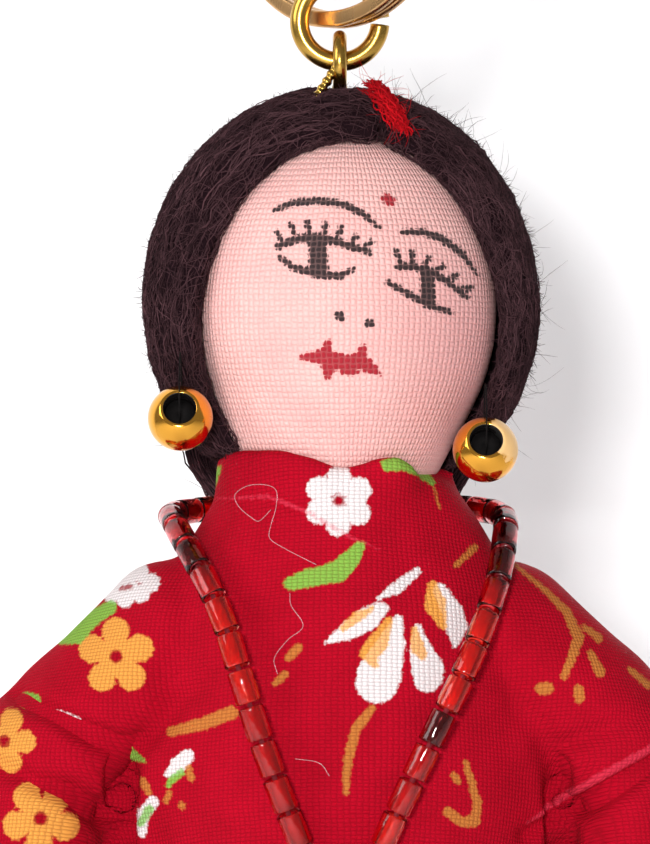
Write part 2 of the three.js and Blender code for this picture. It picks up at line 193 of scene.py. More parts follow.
# Colours, linear
CRIMSON = (0.50, 0.0015, 0.018)
CRIMSON_DARK = (0.33, 0.001, 0.010)
# painted shade in the holes between the crimson cloth's threads
CRIMSON_GAP_SHADE = (0.10, 0.001, 0.004)
WHITE_INK = (0.83, 0.78, 0.78)
ORANGE_INK = (0.85, 0.38, 0.07)
GREEN_INK = (0.19, 0.50, 0.07)
OCHRE_INK = (0.55, 0.20, 0.04)
# painted highlight along the right fold's ridge, and the real light-red frayed edge at the neckline
RIDGE_HIGHLIGHT_AND_FRAY = (0.78, 0.05, 0.10)
SKIN = (0.90, 0.56, 0.52)
SKIN_BLUSH = (0.84, 0.42, 0.40)
# painted shade: the colour the face darkens to towards +X and low down, on the side away from the key light
SKIN_PAINTED_SHADE = (0.66, 0.30, 0.30)
# painted shade in the holes between the face's threads
SKIN_GAP_SHADE = (0.74, 0.30, 0.28)
PAINT_DARK = (0.010, 0.008, 0.010)
PAINT_RED = (0.36, 0.003, 0.016)
WOOL_DARK = (0.015, 0.006, 0.008)
WOOL_LIGHT = (0.105, 0.048, 0.056)
WOOL_UNDER = (0.010, 0.004, 0.006)
RED_WOOL = (0.60, 0.006, 0.012)
BRASS = (0.60, 0.36, 0.07)
BRASS_TARNISHED = (0.42, 0.24, 0.05)
COPPER = (0.72, 0.44, 0.20)
COPPER_TARNISHED = (0.55, 0.30, 0.12)

# Inks on the crimson cloth: each one's colour and how well it covers. The ridge entry is no ink but a painted
# highlight along the right fold's ridge, together with the real light-red frayed edge at the neckline.
INKS = {
    "white": (WHITE_INK, 0.95), "orange": (ORANGE_INK, 0.85), "green": (GREEN_INK, 0.85),
    "ochre": (OCHRE_INK, 0.85), "pip": (CRIMSON_DARK, 0.85), "ridge": (RIDGE_HIGHLIGHT_AND_FRAY, 0.45),
}
FAR_FROM_INK = 9.0
PETAL = ((0.2, 0.14), (0.32, 0.18))  # how far out each end lies and how wide it is, as shares of a flower

Form = namedtuple("Form", "points faces")


# ---- Shapes ----

def metres(points):
    return (np.asarray(points, float) + (0, 0, NECKLINE)) * MM


def unit(vectors):
    return vectors / np.linalg.norm(vectors, axis=-1, keepdims=True)


def ease(values, low, high):
    """0 below low, 1 above high and a smooth step between them."""
    t = np.clip((values - low) / (high - low), 0, 1)
    return t * t * (3 - 2 * t)


def mirrored(stations, sign):
    return [((sign * x, y, z), radii) for (x, y, z), radii in stations]


def ball(at, radii, count=500):
    order = np.arange(count) + 0.5
    tilt = np.arccos(1 - 2 * order / count)
    turn = math.pi * (1 + math.sqrt(5)) * order
    sphere = np.stack([np.cos(turn) * np.sin(tilt), np.sin(turn) * np.sin(tilt), np.cos(tilt)], 1)
    return np.array(at) + sphere * radii


def hull(points):
    bm = bmesh.new()
    corners = [bm.verts.new(point) for point in points]
    bmesh.ops.convex_hull(bm, input=corners)
    bmesh.ops.delete(bm, geom=[v for v in bm.verts if not v.link_faces], context="VERTS")
    bm.verts.index_update()
    form = Form([v.co.copy() for v in bm.verts], [[v.index for v in face.verts] for face in bm.faces])
    bm.free()
    return form


def joined(forms):
    points = []
    faces = []
    for form in forms:
        faces += [[i + len(points) for i in face] for face in form.faces]
        points += [tuple(point) for point in form.points]
    return Form(points, faces)


def mesh_of(name, points, faces):
    mesh = bpy.data.meshes.new(name)
    mesh.from_pydata([tuple(point) for point in points], [], faces)
    mesh.update()
    return mesh


def form_of(mesh):
    points = np.zeros(len(mesh.vertices) * 3)
    mesh.vertices.foreach_get("co", points)
    return Form(points.reshape(-1, 3), [tuple(face.vertices) for face in mesh.polygons])


def worked(form, *modifiers):
    """The form after Blender's modifiers, each given as its kind and its settings."""
    obj = bpy.data.objects.new("work", mesh_of("work", form.points, form.faces))
    bpy.context.collection.objects.link(obj)
    for kind, settings in modifiers:
        modifier = obj.modifiers.new(kind, kind)
        for key, value in settings.items():
            setattr(modifier, key, value)
    graph = bpy.context.evaluated_depsgraph_get()
    mesh = bpy.data.meshes.new_from_object(obj.evaluated_get(graph))
    result = form_of(mesh)
    bpy.data.objects.remove(obj)
    return result


def softened(form, voxel, smoothing, levels):
    return worked(
        form,
        ("REMESH", {"mode": "VOXEL", "voxel_size": voxel}),
        ("SMOOTH", {"factor": 0.5, "iterations": smoothing}),
        ("SUBSURF", {"levels": levels}),
    )


def spans_of(limbs):
    """A hull over each two stations that follow each other."""
    spans = []
    for stations in limbs:
        for first, second in zip(stations, stations[1:]):
            spans.append(hull(np.vstack([ball(*first), ball(*second)])))
    return spans


def stuffed(limbs, voxel, smoothing, levels):
    """One soft surface over rows of padded balls."""
    return softened(joined(spans_of(limbs)), voxel, smoothing, levels)


def cad_form(node):
    """A CAD node's surface, in the doll's frame."""
    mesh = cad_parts[node].data
    form = form_of(mesh)
    bare = Form(form.points / MM - (0, 0, NECKLINE), form.faces)
    return worked(bare, ("WELD", {"merge_threshold": 0.002}))


def normals_of(form):
    mesh = mesh_of("normals", form.points, form.faces)
    normals = np.zeros(len(mesh.vertices) * 3)
    mesh.vertex_normals.foreach_get("vector", normals)
    bpy.data.meshes.remove(mesh)
    return normals.reshape(-1, 3)


def through(points, per_span=8):
    """A smooth curve through the points."""
    points = np.asarray(points, float)
    row = np.vstack([2 * points[0] - points[1], points, 2 * points[-1] - points[-2]])
    t = np.linspace(0, 1, per_span, endpoint=False)[:, None]
    spans = []
    for a, b, c, d in zip(row, row[1:], row[2:], row[3:]):
        bend = (2 * a - 5 * b + 4 * c - d) * t**2 + (3 * b - a - 3 * c + d) * t**3
        spans.append(0.5 * (2 * b + (c - a) * t + bend))
    return np.vstack(spans + [points[-1:]])


def circle(radius, sides=16):
    turn = np.arange(sides) / sides * 2 * math.pi
    return radius * np.stack([np.cos(turn), np.sin(turn)], 1)


def rounded_box(wide, thick, corner, steps=4):
    """A box section with round corners, as (outward, sideways) offsets."""
    outline = []
    for quarter, (across, up) in enumerate([(1, 1), (-1, 1), (-1, -1), (1, -1)]):
        for step in range(steps + 1):
            turn = (quarter + step / steps) * math.pi / 2
            outline.append((
                across * (wide / 2 - corner) + corner * math.cos(turn),
                up * (thick / 2 - corner) + corner * math.sin(turn),
            ))
    return np.array(outline)


def carried(ahead):
    """A direction square to the route, carried along it without twisting."""
    start = np.array((0, 0, 1.0)) if abs(ahead[0][2]) < 0.9 else np.array((1.0, 0, 0))
    directions = []
    for heading in ahead:
        start = start - heading * (start @ heading)
        start = start / np.linalg.norm(start)
        directions.append(start)
    return np.array(directions)


def ring_faces(rings, count, closed=True, inside_out=False):
    """The quads between rings of points, and from the last ring to the first if closed."""
    faces = []
    for i in range(rings if closed else rings - 1):
        low = i * count
        high = (i + 1) % rings * count
        for j in range(count):
            after = (j + 1) % count
            face = (low + j, low + after, high + after, high + j)
            faces.append(face[:1] + face[:0:-1] if inside_out else face)
    return faces


def swept(route, section, closed=False, outward=None, scale=None):
    """A tube along a route. The section is an outline of (outward, sideways) offsets."""
    route = np.asarray(route, float)
    if closed:
        ahead = unit(np.roll(route, -1, 0) - np.roll(route, 1, 0))
    else:
        ahead = unit(np.gradient(route, axis=0))
    if outward is None:
        outward = carried(ahead)
    else:
        outward = unit(outward - ahead * np.sum(outward * ahead, axis=1, keepdims=True))
    side = np.cross(ahead, outward)
    sections = np.repeat(section[None], len(route), 0)
    if scale is not None:
        sections = sections * np.asarray(scale)[:, None, None]
    rings = route[:, None] + outward[:, None] * sections[..., :1] + side[:, None] * sections[..., 1:]
    count = len(section)
    faces = ring_faces(len(route), count, closed)
    if not closed:
        last = (len(route) - 1) * count
        faces.append(tuple(range(count))[::-1])
        faces.append(tuple(last + j for j in range(count)))
    return Form(rings.reshape(-1, 3), faces)


def turned(profile, sides=32):
    """A closed (radius, height) profile turned about the Z axis, low to high on the outside."""
    profile = np.asarray(profile, float)
    turn = np.arange(sides) / sides * 2 * math.pi
    rings = np.stack([
        profile[:, 0] * np.cos(turn)[:, None],
        profile[:, 0] * np.sin(turn)[:, None],
        np.repeat(profile[:, 1][None], sides, 0),
    ], -1)
    return Form(rings.reshape(-1, 3), ring_faces(sides, len(profile), inside_out=True))


def piece(name, form, finish, body=None, replaces=(), fields=None):
    """A named object of the doll, with its numbers for each point, such as where ink lies."""
    mesh = mesh_of(name, metres(form.points), form.faces)
    mesh.shade_smooth()
    mesh.materials.append(finish)
    for field, values in (fields or {}).items():
        kind = "FLOAT_VECTOR" if np.ndim(values) == 2 else "FLOAT"
        made = mesh.attributes.new(field, kind, "POINT")
        made.data.foreach_set("vector" if kind == "FLOAT_VECTOR" else "value", np.ravel(values))
    obj = bpy.data.objects.new(name, mesh)
    bpy.context.collection.objects.link(obj)
    if body:
        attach(obj, body)
    if replaces:
        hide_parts(*replaces)
    return obj


# ---- Ink and paint ----

def along_strokes(flat, strokes):
    """For each span of each stroke: every flat point's distance from it, and its width or depth there."""
    for stroke in strokes:
        for (ax, az, first), (bx, bz, last) in zip(stroke, stroke[1:] or stroke):
            start = np.array((ax, az))
            along = np.array((bx - ax, bz - az))
            t = np.clip((flat - start) @ along / max(along @ along, 1e-9), 0, 1)
            yield np.linalg.norm(flat - start - t[:, None] * along, axis=1), first + t * (last - first)


def stroke_field(flat, strokes):
    """How far each flat point lies outside the nearest stroke, less than 0 inside it."""
    field = np.full(len(flat), FAR_FROM_INK)
    for away, width in along_strokes(flat, strokes):
        field = np.minimum(field, away - width)
    return field


def petals(x, z, size, count, turn):
    strokes = []
    for k in range(count):
        angle = turn + k * 2 * math.pi / count
        aside = math.cos(angle) * size
        up = math.sin(angle) * size
        strokes.append([(x + out * aside, z + out * up, width * size) for out, width in PETAL])
    return strokes


def pip(x, z, size):
    return [[(x, z, size)]]


def chest_print():
    """The ink on the front of the blouse and the sleeves."""
    white = petals(-0.1, -3.1, 5.4, 6, 0.5)
    white += [[(x, z, 0.72)] for x, z in [(-15.5, -8.8), (-14.6, -9.5), (-15.4, -10.3), (-16.6, -10.7)]]
    white += [[(x, z, 0.7)] for x, z in [(-17.7, -10.4), (-17.4, -9.5), (-16.4, -9), (-16.3, -9.9)]]
    white += [
        [(3.2, -11.3, 0.5), (2.2, -12, 0.9), (0.6, -13, 0.7), (-1.1, -13.9, 0.1)],
        [(4.4, -12.2, 0.4), (3.9, -14, 1.1), (3, -16.3, 1.7), (2.8, -16.9, 1.6)],
        [(5.9, -12.8, 0.3), (6.1, -14.3, 0.8), (6.7, -16, 1.25), (6.7, -16.6, 1.1)],
        [(7.6, -9.9, 0.5), (8.6, -11.6, 0.8), (8.9, -12.8, 0.85), (8.8, -14.2, 0.2)],
        [(5.9, -8.5, 0.28), (4.4, -9.7, 0.48), (2.8, -10.6, 0.1)],
        [(-21.7, -19.5, 0.3), (-20.3, -20.1, 0.42)],
        [(-11.7, -22.7, 0.5), (-12.4, -23.4, 0.65), (-13.1, -24.1, 0.35)],
        [(-14.4, -26.3, 0.45), (-15.3, -27.5, 0.5), (-15.3, -28.9, 0.35)],
    ]
    orange = petals(-17.2, -15.1, 6, 5, 0.35) + petals(-25.8, -21.6, 5, 5, 0)
    orange += petals(-22.9, -27.4, 6, 5, 0.9)
    orange += [
        [(2.4, -11.3, 0.2), (1.2, -12, 0.42), (0.2, -12.8, 0.25)],
        [(3.7, -12.3, 0.35), (2.9, -13.9, 0.8), (2.2, -14.7, 0.7), (2.7, -15.6, 0.25)],
        [(5.7, -12.9, 0.25), (5.9, -14.2, 0.6), (6.3, -14.9, 0.35)],
        [(7.1, -9.7, 0.45), (7.3, -11, 0.85), (7.9, -12.7, 0.3)],
    ]
    green = [
        [(3.6, -0.4, 0.5), (4.8, -0.2, 0.55), (6.2, -0.8, 0.5), (7.2, -1.8, 0.2)],
        [(-10.8, -3.8, 0.16), (-10.2, -2.6, 0.3), (-9.3, -0.6, 0.16)],
        [(-3.8, -9.4, 0.5), (-2.4, -9, 0.72), (-1.5, -8.8, 0.55)],
        [(-1.5, -8.8, 0.7), (-0.2, -8.5, 0.85), (0.8, -7.6, 0.7), (1.5, -6.6, 0.42)],
        [(-17.7, -11.4, 0.5), (-19.2, -12.3, 0.62), (-20.4, -13.4, 0.85), (-22.4, -13.9, 0.5),
         (-24.4, -14.9, 0.2)],
        [(-24.2, -18.6, 0.6), (-23.6, -18.6, 0.55)],
        [(-17.9, -21.2, 0.1), (-17, -22.2, 0.6), (-16.2, -22.8, 0.55), (-15.1, -23.2, 0.15)],
        [(-12.1, -23.9, 0.25), (-12.9, -24.5, 0.35), (-13.2, -25, 0.2)],
        [(-14.7, -26.9, 0.35), (-15.4, -28.1, 0.3)],
    ]
    ochre = [
        [(2.4, -18.9, 0.3), (1.2, -20.4, 0.38), (0.6, -22.8, 0.36), (0.4, -25.2, 0.25)],
        [(-3.2, -14.3, 0.35), (-4, -15.1, 0.3)],
        [(-4.2, -16.3, 0.3), (-4.9, -17, 0.25)],
        [(-13, -20.9, 0.35), (-10.5, -20.2, 0.48), (-8.3, -19.3, 0.5)],
        [(-11.6, -23.6, 0.3), (-11.4, -24.4, 0.25)],
        [(-15.2, -24.8, 0.35), (-14.7, -25.6, 0.25)],
        [(-13.1, -25.6, 0.25), (-13.4, -26.2, 0.2)],
        [(-12.1, -26.5, 0.3)],
        [(13.5, -8.1, 0.1), (15.9, -10.1, 0.22), (17.5, -11.7, 0.34), (18.4, -13.7, 0.42),
         (17.2, -16.6, 0.28)],
        [(18.9, -12.9, 0.22), (20, -13.8, 0.32)],
        [(19.3, -14.9, 0.3), (20, -16.3, 0.42)],
        [(15.5, -17.6, 0.5), (15.9, -17.5, 0.5)],
        [(18.3, -17.6, 0.36), (18.4, -18.3, 0.4)],
        [(22.4, -16.2, 0.2), (23.8, -17.4, 0.3)],
        [(10.4, -6.8, 0.3), (8.9, -8.1, 0.2)],
        [(9.6, -23.1, 0.22), (10.5, -26.2, 0.36), (10.3, -27.7, 0.42), (9.2, -27.6, 0.4), (8.2, -26.8, 0.36)],
        [(8.7, -24.1, 0.3), (9, -24.5, 0.25)],
        [(7.3, -2.2, 0.08), (7.7, -3.7, 0.1)],
    ]
    pips = pip(-17.2, -15.1, 0.5) + pip(-25.8, -21.6, 0.5) + pip(-22.9, -27.4, 0.52)
    pips += [[(-17, -10, 0.16), (-16.2, -9.8, 0.2)]]
    for k in range(3):
        aside = 0.55 * math.cos(0.5 + k * math.pi / 3)
        up = 0.55 * math.sin(0.5 + k * math.pi / 3)
        pips.append([(-0.1 - aside, -3.1 - up, 0.12), (-0.1 + aside, -3.1 + up, 0.12)])
    # the ridge strokes along FOLDS are a painted highlight on the right fold and the real light-red frayed
    # edge at the neckline
    return {"white": white, "orange": orange, "green": green, "ochre": ochre, "pip": pips, "ridge": FOLDS}


def scattered_print(wide, low, high, pitch, seed):
    """The same kind of ink scattered in rows over a strip of cloth."""
    chance = random.Random(seed)
    inks = {ink: [] for ink in INKS}
    rows = int((high - low) / pitch)
    columns = int(wide / pitch)
    for row in range(rows):
        for column in range(columns):
            x = -wide / 2 + (column + 0.25 + 0.5 * (row % 2) + chance.uniform(-0.12, 0.12)) * pitch
            z = low + (row + 0.5 + chance.uniform(-0.12, 0.12)) * pitch
            kind = (row + 2 * column) % 3
            turn = chance.uniform(0, 6)
            if kind == 2:
                inks["ochre"].append([(x - 2, z - 2, 0.2), (x, z - 0.6, 0.35), (x + 0.6, z + 2, 0.2)])
                inks["ochre"] += pip(x + 1.8, z, 0.4) + pip(x - 1.4, z + 0.8, 0.4)
                continue
            ink = "white" if kind == 0 else "orange"
            inks[ink] += petals(x, z, 5, 5 + kind, turn)
            inks["pip"] += pip(x, z, 0.5)
            inks["green"].append([(x + 2.6, z - 2.6, 0.3), (x + 3.6, z - 3.3, 0.65), (x + 5, z - 3.6, 0.3)])
    return inks


def ink_fields(flat, inks):
    return {f"ink_{ink}": stroke_field(flat, strokes) for ink, strokes in inks.items()}


def face_fields(points):
    """Where the dark and the red paint lie on the face, seen from the front."""
    flat = points[:, [0, 2]]
    lashes = []
    for lid, tips in zip(UPPER_LIDS, LASH_TIPS):
        line = through([(x, 0, z) for x, z, _ in lid], 12)[:, [0, 2]]
        for i, (x, z) in enumerate(tips):
            root = line[int((i + 0.4) / len(tips) * (len(line) - 1))]
            lashes.append([(root[0], root[1], 0.2), (x, z, 0.25)])
    dark = BROWS + UPPER_LIDS + LOWER_LIDS + lashes + PUPILS + NOSTRILS + WIDOWS_PEAK
    away = FAR_FROM_INK * (points[:, 1] > -1)
    return {
        "paint_dark": stroke_field(flat, dark) + away,
        "paint_red": stroke_field(flat, LIPS + FOREHEAD_MARK) + away,
    }


# ---- Materials ----

class Finish:
    """A node material, built up from short calls that each give back a socket."""

    def __init__(self, name):
        self.material = bpy.data.materials.new(name)
        self.material.use_nodes = True
        self.nodes = self.material.node_tree.nodes
        self.links = self.material.node_tree.links
        self.nodes.clear()

    def put(self, socket, value):
        if isinstance(value, bpy.types.NodeSocket):
            self.links.new(value, socket)
        elif isinstance(value, tuple) and len(value) == 3 and socket.type == "RGBA":
            socket.default_value = (*value, 1)
        else:
            socket.default_value = value

    def node(self, kind, inputs=(), **settings):
        made = self.nodes.new("ShaderNode" + kind)
        for key, value in settings.items():
            setattr(made, key, value)
        for key, value in dict(inputs).items():
            self.put(made.inputs[key], value)
        return made

    def math(self, operation, first, second=0.0, third=0.0):
        made = self.node("Math", {0: first, 1: second, 2: third}, operation=operation)
        return made.outputs[0]

    def mix(self, amount, first, second):
        return self.node("Mix", {0: amount, 6: first, 7: second}, data_type="RGBA").outputs[2]

    def field(self, name, output="Fac"):
        return self.node("Attribute", attribute_name=name).outputs[output]

    def noise(self, scale, detail, output="Fac"):
        place = self.node("TexCoord").outputs["Object"]
        return self.node("TexNoise", {"Vector": place, "Scale": scale, "Detail": detail}).outputs[output]

    def ranged(self, value, low, high):
        """0 where the value is low, 1 where it is high and a slope between them."""
        return self.node("MapRange", {"Value": value, "From Min": low, "From Max": high}).outputs[0]

    def inside(self, field, softness):
        """1 where the field is below 0, with a soft edge."""
        return self.ranged(field, softness, -softness)

    def bump(self, height, distance):
        return self.node("Bump", {"Height": height, "Distance": distance, "Strength": 1.0}).outputs[0]

    def surface(self, **inputs):
        shader = self.node("BsdfPrincipled", {key.replace("_", " "): value for key, value in inputs.items()})
        self.finish(shader.outputs[0])
        return self.material

    def finish(self, shader):
        self.links.new(shader, self.node("OutputMaterial").inputs["Surface"])
        return self.material


def weave_height(finish, pitch, wander):
    """Height of a plain weave, 0 in the holes and 1 on the threads, from each point's thread place."""
    thread = finish.field("thread", "Vector")
    drift = finish.noise(450.0, 2.0, "Color")
    shift = finish.node("VectorMath", {0: drift, 3: wander}, operation="SCALE").outputs[0]
    moved = finish.node("VectorMath", {0: thread, 1: shift}, operation="ADD").outputs[0]
    apart = finish.node("SeparateXYZ", {0: moved})
    waves = []
    for axis in (0, 1):
        phase = finish.math("MULTIPLY", apart.outputs[axis], math.pi / pitch)
        waves.append(finish.math("SINE", phase))
    warp = finish.math("ABSOLUTE", waves[0])
    weft = finish.math("ABSOLUTE", waves[1])
    over = finish.ranged(finish.math("MULTIPLY", waves[0], waves[1]), -0.25, 0.25)
    warp_top = finish.math("MULTIPLY", warp, finish.math("MULTIPLY_ADD", weft, 0.45, 0.55))
    weft_top = finish.math("MULTIPLY", weft, finish.math("MULTIPLY_ADD", warp, 0.45, 0.55))
    difference = finish.math("SUBTRACT", warp_top, weft_top)
    return finish.math("MULTIPLY_ADD", difference, over, weft_top)


def face_cotton(painted=True):
    finish = Finish("face_cotton" if painted else "hand_cotton")
    weave = weave_height(finish, **FACE_WEAVE)
    slub = finish.noise(300.0, 3.0)
    colour = finish.mix(slub, SKIN_BLUSH, SKIN)
    if painted:
        # painted shade: the face darker towards +X and below the eyes, away from the key light
        colour = finish.mix(finish.field("painted_shade"), colour, SKIN_PAINTED_SHADE)
    holes = finish.ranged(weave, 0.75, 0.15)
    # painted shade: the weave's holes darkened towards the gap colour
    colour = finish.mix(finish.math("MULTIPLY", holes, 0.32), colour, SKIN_GAP_SHADE)
    if painted:
        ragged = finish.math("MULTIPLY_ADD", finish.noise(3000.0, 2.0), 0.4, -0.25)
        ragged = finish.math("MULTIPLY_ADD", holes, 0.16, ragged)
        thinned = finish.math("MULTIPLY_ADD", holes, -0.12, 0.97)
        for field, tint in (("paint_dark", PAINT_DARK), ("paint_red", PAINT_RED)):
            edge = finish.math("ADD", finish.field(field), ragged)
            cover = finish.math("MULTIPLY", finish.inside(edge, 0.07), thinned)
            colour = finish.mix(cover, colour, tint)
    rough = finish.bump(weave, 0.00014)
    return finish.surface(
        Base_Color=colour, Roughness=0.9, Normal=rough, Sheen_Weight=0.05, Sheen_Roughness=0.5,
        Specular_IOR_Level=0.2, Subsurface_Weight=0.1, Subsurface_Radius=(0.0012, 0.0005, 0.0004),
        Subsurface_Scale=1.0,
    )


def crimson_print():
    finish = Finish("crimson_print")
    weave = weave_height(finish, **CRIMSON_WEAVE)
    mottle = finish.noise(330.0, 4.0)
    colour = finish.mix(mottle, CRIMSON_DARK, CRIMSON)
    ragged = finish.math("MULTIPLY_ADD", finish.noise(3300.0, 3.0), 0.5, -0.25)
    # each entry is print, except ridge: a painted highlight on the right fold and the real frayed edge at the
    # neckline
    for ink, (tint, strength) in INKS.items():
        edge = finish.math("ADD", finish.field("ink_" + ink), ragged)
        cover = finish.math("MULTIPLY", finish.inside(edge, 0.09), strength)
        colour = finish.mix(cover, colour, tint)
    holes = finish.ranged(weave, 0.6, 0.05)
    # painted shade: the weave's holes darkened towards the gap colour
    colour = finish.mix(finish.math("MULTIPLY", holes, 0.4), colour, CRIMSON_GAP_SHADE)
    rough = finish.bump(weave, 0.00009)
    return finish.surface(Base_Color=colour, Roughness=0.9, Normal=rough, Specular_IOR_Level=0.08)


def wool(name, dark, light):
    finish = Finish(name)
    shade = finish.field("shade")
    patch = finish.noise(260.0, 3.0)
    colour = finish.mix(finish.math("MULTIPLY", shade, patch), dark, light)
    return finish.surface(Base_Color=colour, Roughness=0.95, Specular_IOR_Level=0.08)


def wool_base(name, dark, light):
    finish = Finish(name)
    grain = finish.noise(1500.0, 4.0)
    colour = finish.mix(grain, dark, light)
    return finish.surface(
        Base_Color=colour, Roughness=0.95, Normal=finish.bump(grain, 0.0002), Specular_IOR_Level=0.05,
    )


def metal(name, bright, tarnished, roughness):
    finish = Finish(name)
    patch = finish.noise(420.0, 4.0)
    scratch = finish.noise(6000.0, 2.0)
    colour = finish.mix(patch, bright, tarnished)
    rough = finish.math("MULTIPLY_ADD", patch, 0.16, roughness)
    return finish.surface(
        Base_Color=colour, Roughness=rough, Metallic=1.0, Normal=finish.bump(scratch, 0.000008),
    )


def gold_bead():
    """Metallised plastic, worn through to pale plastic in patches, with painted shade inside the hole, which
    is near-black and not metallic.
    """
    finish = Finish("gold_bead")
    worn = finish.field("worn")
    flake = finish.math("ADD", worn, finish.math("MULTIPLY_ADD", finish.noise(1500.0, 3.0), 0.5, -0.25))
    bare = finish.inside(flake, 0.04)
    colour = finish.mix(bare, (0.80, 0.38, 0.05), (0.82, 0.50, 0.20))
    # painted shade: the inside of the hole near-black and without metal
    hole_shade = finish.inside(finish.field("hole_shade"), 0.03)
    colour = finish.mix(hole_shade, colour, (0.006, 0.005, 0.005))
    metallic = finish.math("SUBTRACT", 1.0, finish.math("MAXIMUM", bare, hole_shade))
    rough = finish.math("MULTIPLY_ADD", bare, 0.45, 0.13)
    return finish.surface(Base_Color=colour, Roughness=rough, Metallic=metallic)


def glass(name, tint):
    finish = Finish(name)
    wave = finish.noise(900.0, 2.0)
    return finish.surface(
        Base_Color=tint, Roughness=0.03, Transmission_Weight=1.0, IOR=1.45,
        Normal=finish.bump(wave, 0.00006),
    )


def lining(name, tint, dark):
    finish = Finish(name)
    colour = finish.mix(finish.noise(1200.0, 2.0), dark, tint)
    return finish.surface(Base_Color=colour, Roughness=0.25, Specular_IOR_Level=0.8)


def plain_thread(name, dark, light):
    finish = Finish(name)
    ply = finish.noise(2500.0, 2.0)
    return finish.surface(
        Base_Color=finish.mix(ply, dark, light), Roughness=0.8, Normal=finish.bump(ply, 0.00004),
        Specular_IOR_Level=0.1,
    )


def clear_thread():
    finish = Finish("clear_thread")
    return finish.surface(Base_Color=(0.95, 0.6, 0.66), Roughness=0.2, Transmission_Weight=0.7, IOR=1.3)


def backdrop_paper():
    """Pale paper seen from its front, and clear from behind so that it never hides the doll's back."""
    finish = Finish("backdrop_paper")
    paper = finish.node("BsdfPrincipled", {
        "Base Color": (0.93, 0.93, 0.94), "Roughness": 0.95,
        "Emission Color": (1.0, 1.0, 1.0), "Emission Strength": 0.05,
    })
    clear = finish.node("BsdfTransparent")
    hidden = finish.math(
        "MAXIMUM",
        finish.node("NewGeometry").outputs["Backfacing"],
        finish.node("LightPath").outputs["Is Shadow Ray"],
    )
    mixed = finish.node("MixShader", {0: hidden, 1: paper.outputs[0], 2: clear.outputs[0]})
    return finish.finish(mixed.outputs[0])


# ---- The scene around the doll ----

def camera():
    data = bpy.data.cameras.new("camera")
    data.lens = LENS
    data.sensor_width = SENSOR
    obj = bpy.data.objects.new("camera", data)
    bpy.context.collection.objects.link(obj)
    away = VIEW_HEIGHT * LENS / SENSOR
    x, y, z = VIEW_CENTRE
    obj.location = metres((x, y - away, z))
    obj.rotation_euler = (math.pi / 2, 0, 0)
    data.clip_start = 0.01
    data.clip_end = 10
    bpy.context.scene.camera = obj


def lamp(name, at, size, power):
    """A square lamp that points at the doll's neckline."""
    data = bpy.data.lights.new(name, "AREA")
    data.size = size
    data.energy = power
    obj = bpy.data.objects.new(name, data)
    bpy.context.collection.objects.link(obj)
    obj.location = at
    aim = Vector(metres((0, 0, 0))) - Vector(at)
    obj.rotation_euler = aim.to_track_quat("-Z", "Y").to_euler()


def studio():
    world = bpy.data.worlds.new("studio")
    world.use_nodes = True
    world.node_tree.nodes["Background"].inputs["Color"].default_value = (1, 1, 1, 1)
    world.node_tree.nodes["Background"].inputs["Strength"].default_value = WORLD_LIGHT
    bpy.context.scene.world = world
    bpy.context.scene.view_settings.view_transform = "Standard"
    for name, (at, size, power) in LAMPS.items():
        lamp(name, at, size, power)


def stage_sheet(name, corners, finish):
    obj = bpy.data.objects.new(name, mesh_of(name, corners, [(0, 1, 2, 3)]))
    obj.data.materials.append(finish)
    bpy.context.collection.objects.link(obj)


def stage():
    """A pale floor under the doll and pale paper behind it, both in metres."""
    far = STAGE_HALF_WIDTH
    low = FLOOR
    high = FLOOR + STAGE_HALF_WIDTH
    back = BACKDROP
    paper = Finish("floor_paper").surface(Base_Color=(0.86, 0.86, 0.87), Roughness=0.9)
    stage_sheet("floor", [(-far, -far, low), (far, -far, low), (far, far, low), (-far, far, low)], paper)
    stage_sheet("backdrop", [(-far, back, low), (far, back, low), (far, back, high), (-far, back, high)],
                backdrop_paper())


# ---- Rings ----

def split_ring_route(steps=240):
    radius = KEY_RING["outer"] - KEY_RING["width"] / 2
    turn = np.linspace(KEY_END, 4 * math.pi - KEY_END, steps)
    across = (turn / (2 * math.pi) - 1) * KEY_RING["pitch"]
    flat = np.stack([radius * np.sin(turn), across, radius * np.cos(turn)], 1)
    outward = np.stack([np.sin(turn), np.zeros(steps), np.cos(turn)], 1)
    yaw = np.array([
        [math.cos(KEY_YAW), -math.sin(KEY_YAW), 0],
        [math.sin(KEY_YAW), math.cos(KEY_YAW), 0],
        [0, 0, 1],
    ])
    centre = (0, 0, KEY_RING["bottom"] + KEY_RING["outer"])
    return flat @ yaw + centre, outward @ yaw


def key_ring():
    finish = metal("key_ring_brass", COPPER, COPPER_TARNISHED, 0.2)
    route, outward = split_ring_route()
    section = rounded_box(KEY_RING["width"], KEY_RING["thickness"], 0.25)
    piece("key_ring_wire", swept(route, section, outward=outward), finish, "key_ring",
          ["key_ring"])


def jump_ring(brass):
    gap = JUMP_RING["gap"]
    turn = np.linspace(gap, 2 * math.pi - gap, 96)
    radius = JUMP_RING["radius"]
    route = np.stack([radius * np.cos(turn), 0 * turn, JUMP_RING["centre"] + radius * np.sin(turn)], 1)
    wire = swept(route, circle(JUMP_RING["wire"], 24))
    piece("jump_ring_wire", wire, brass, "jump_ring", ["jump_ring"])


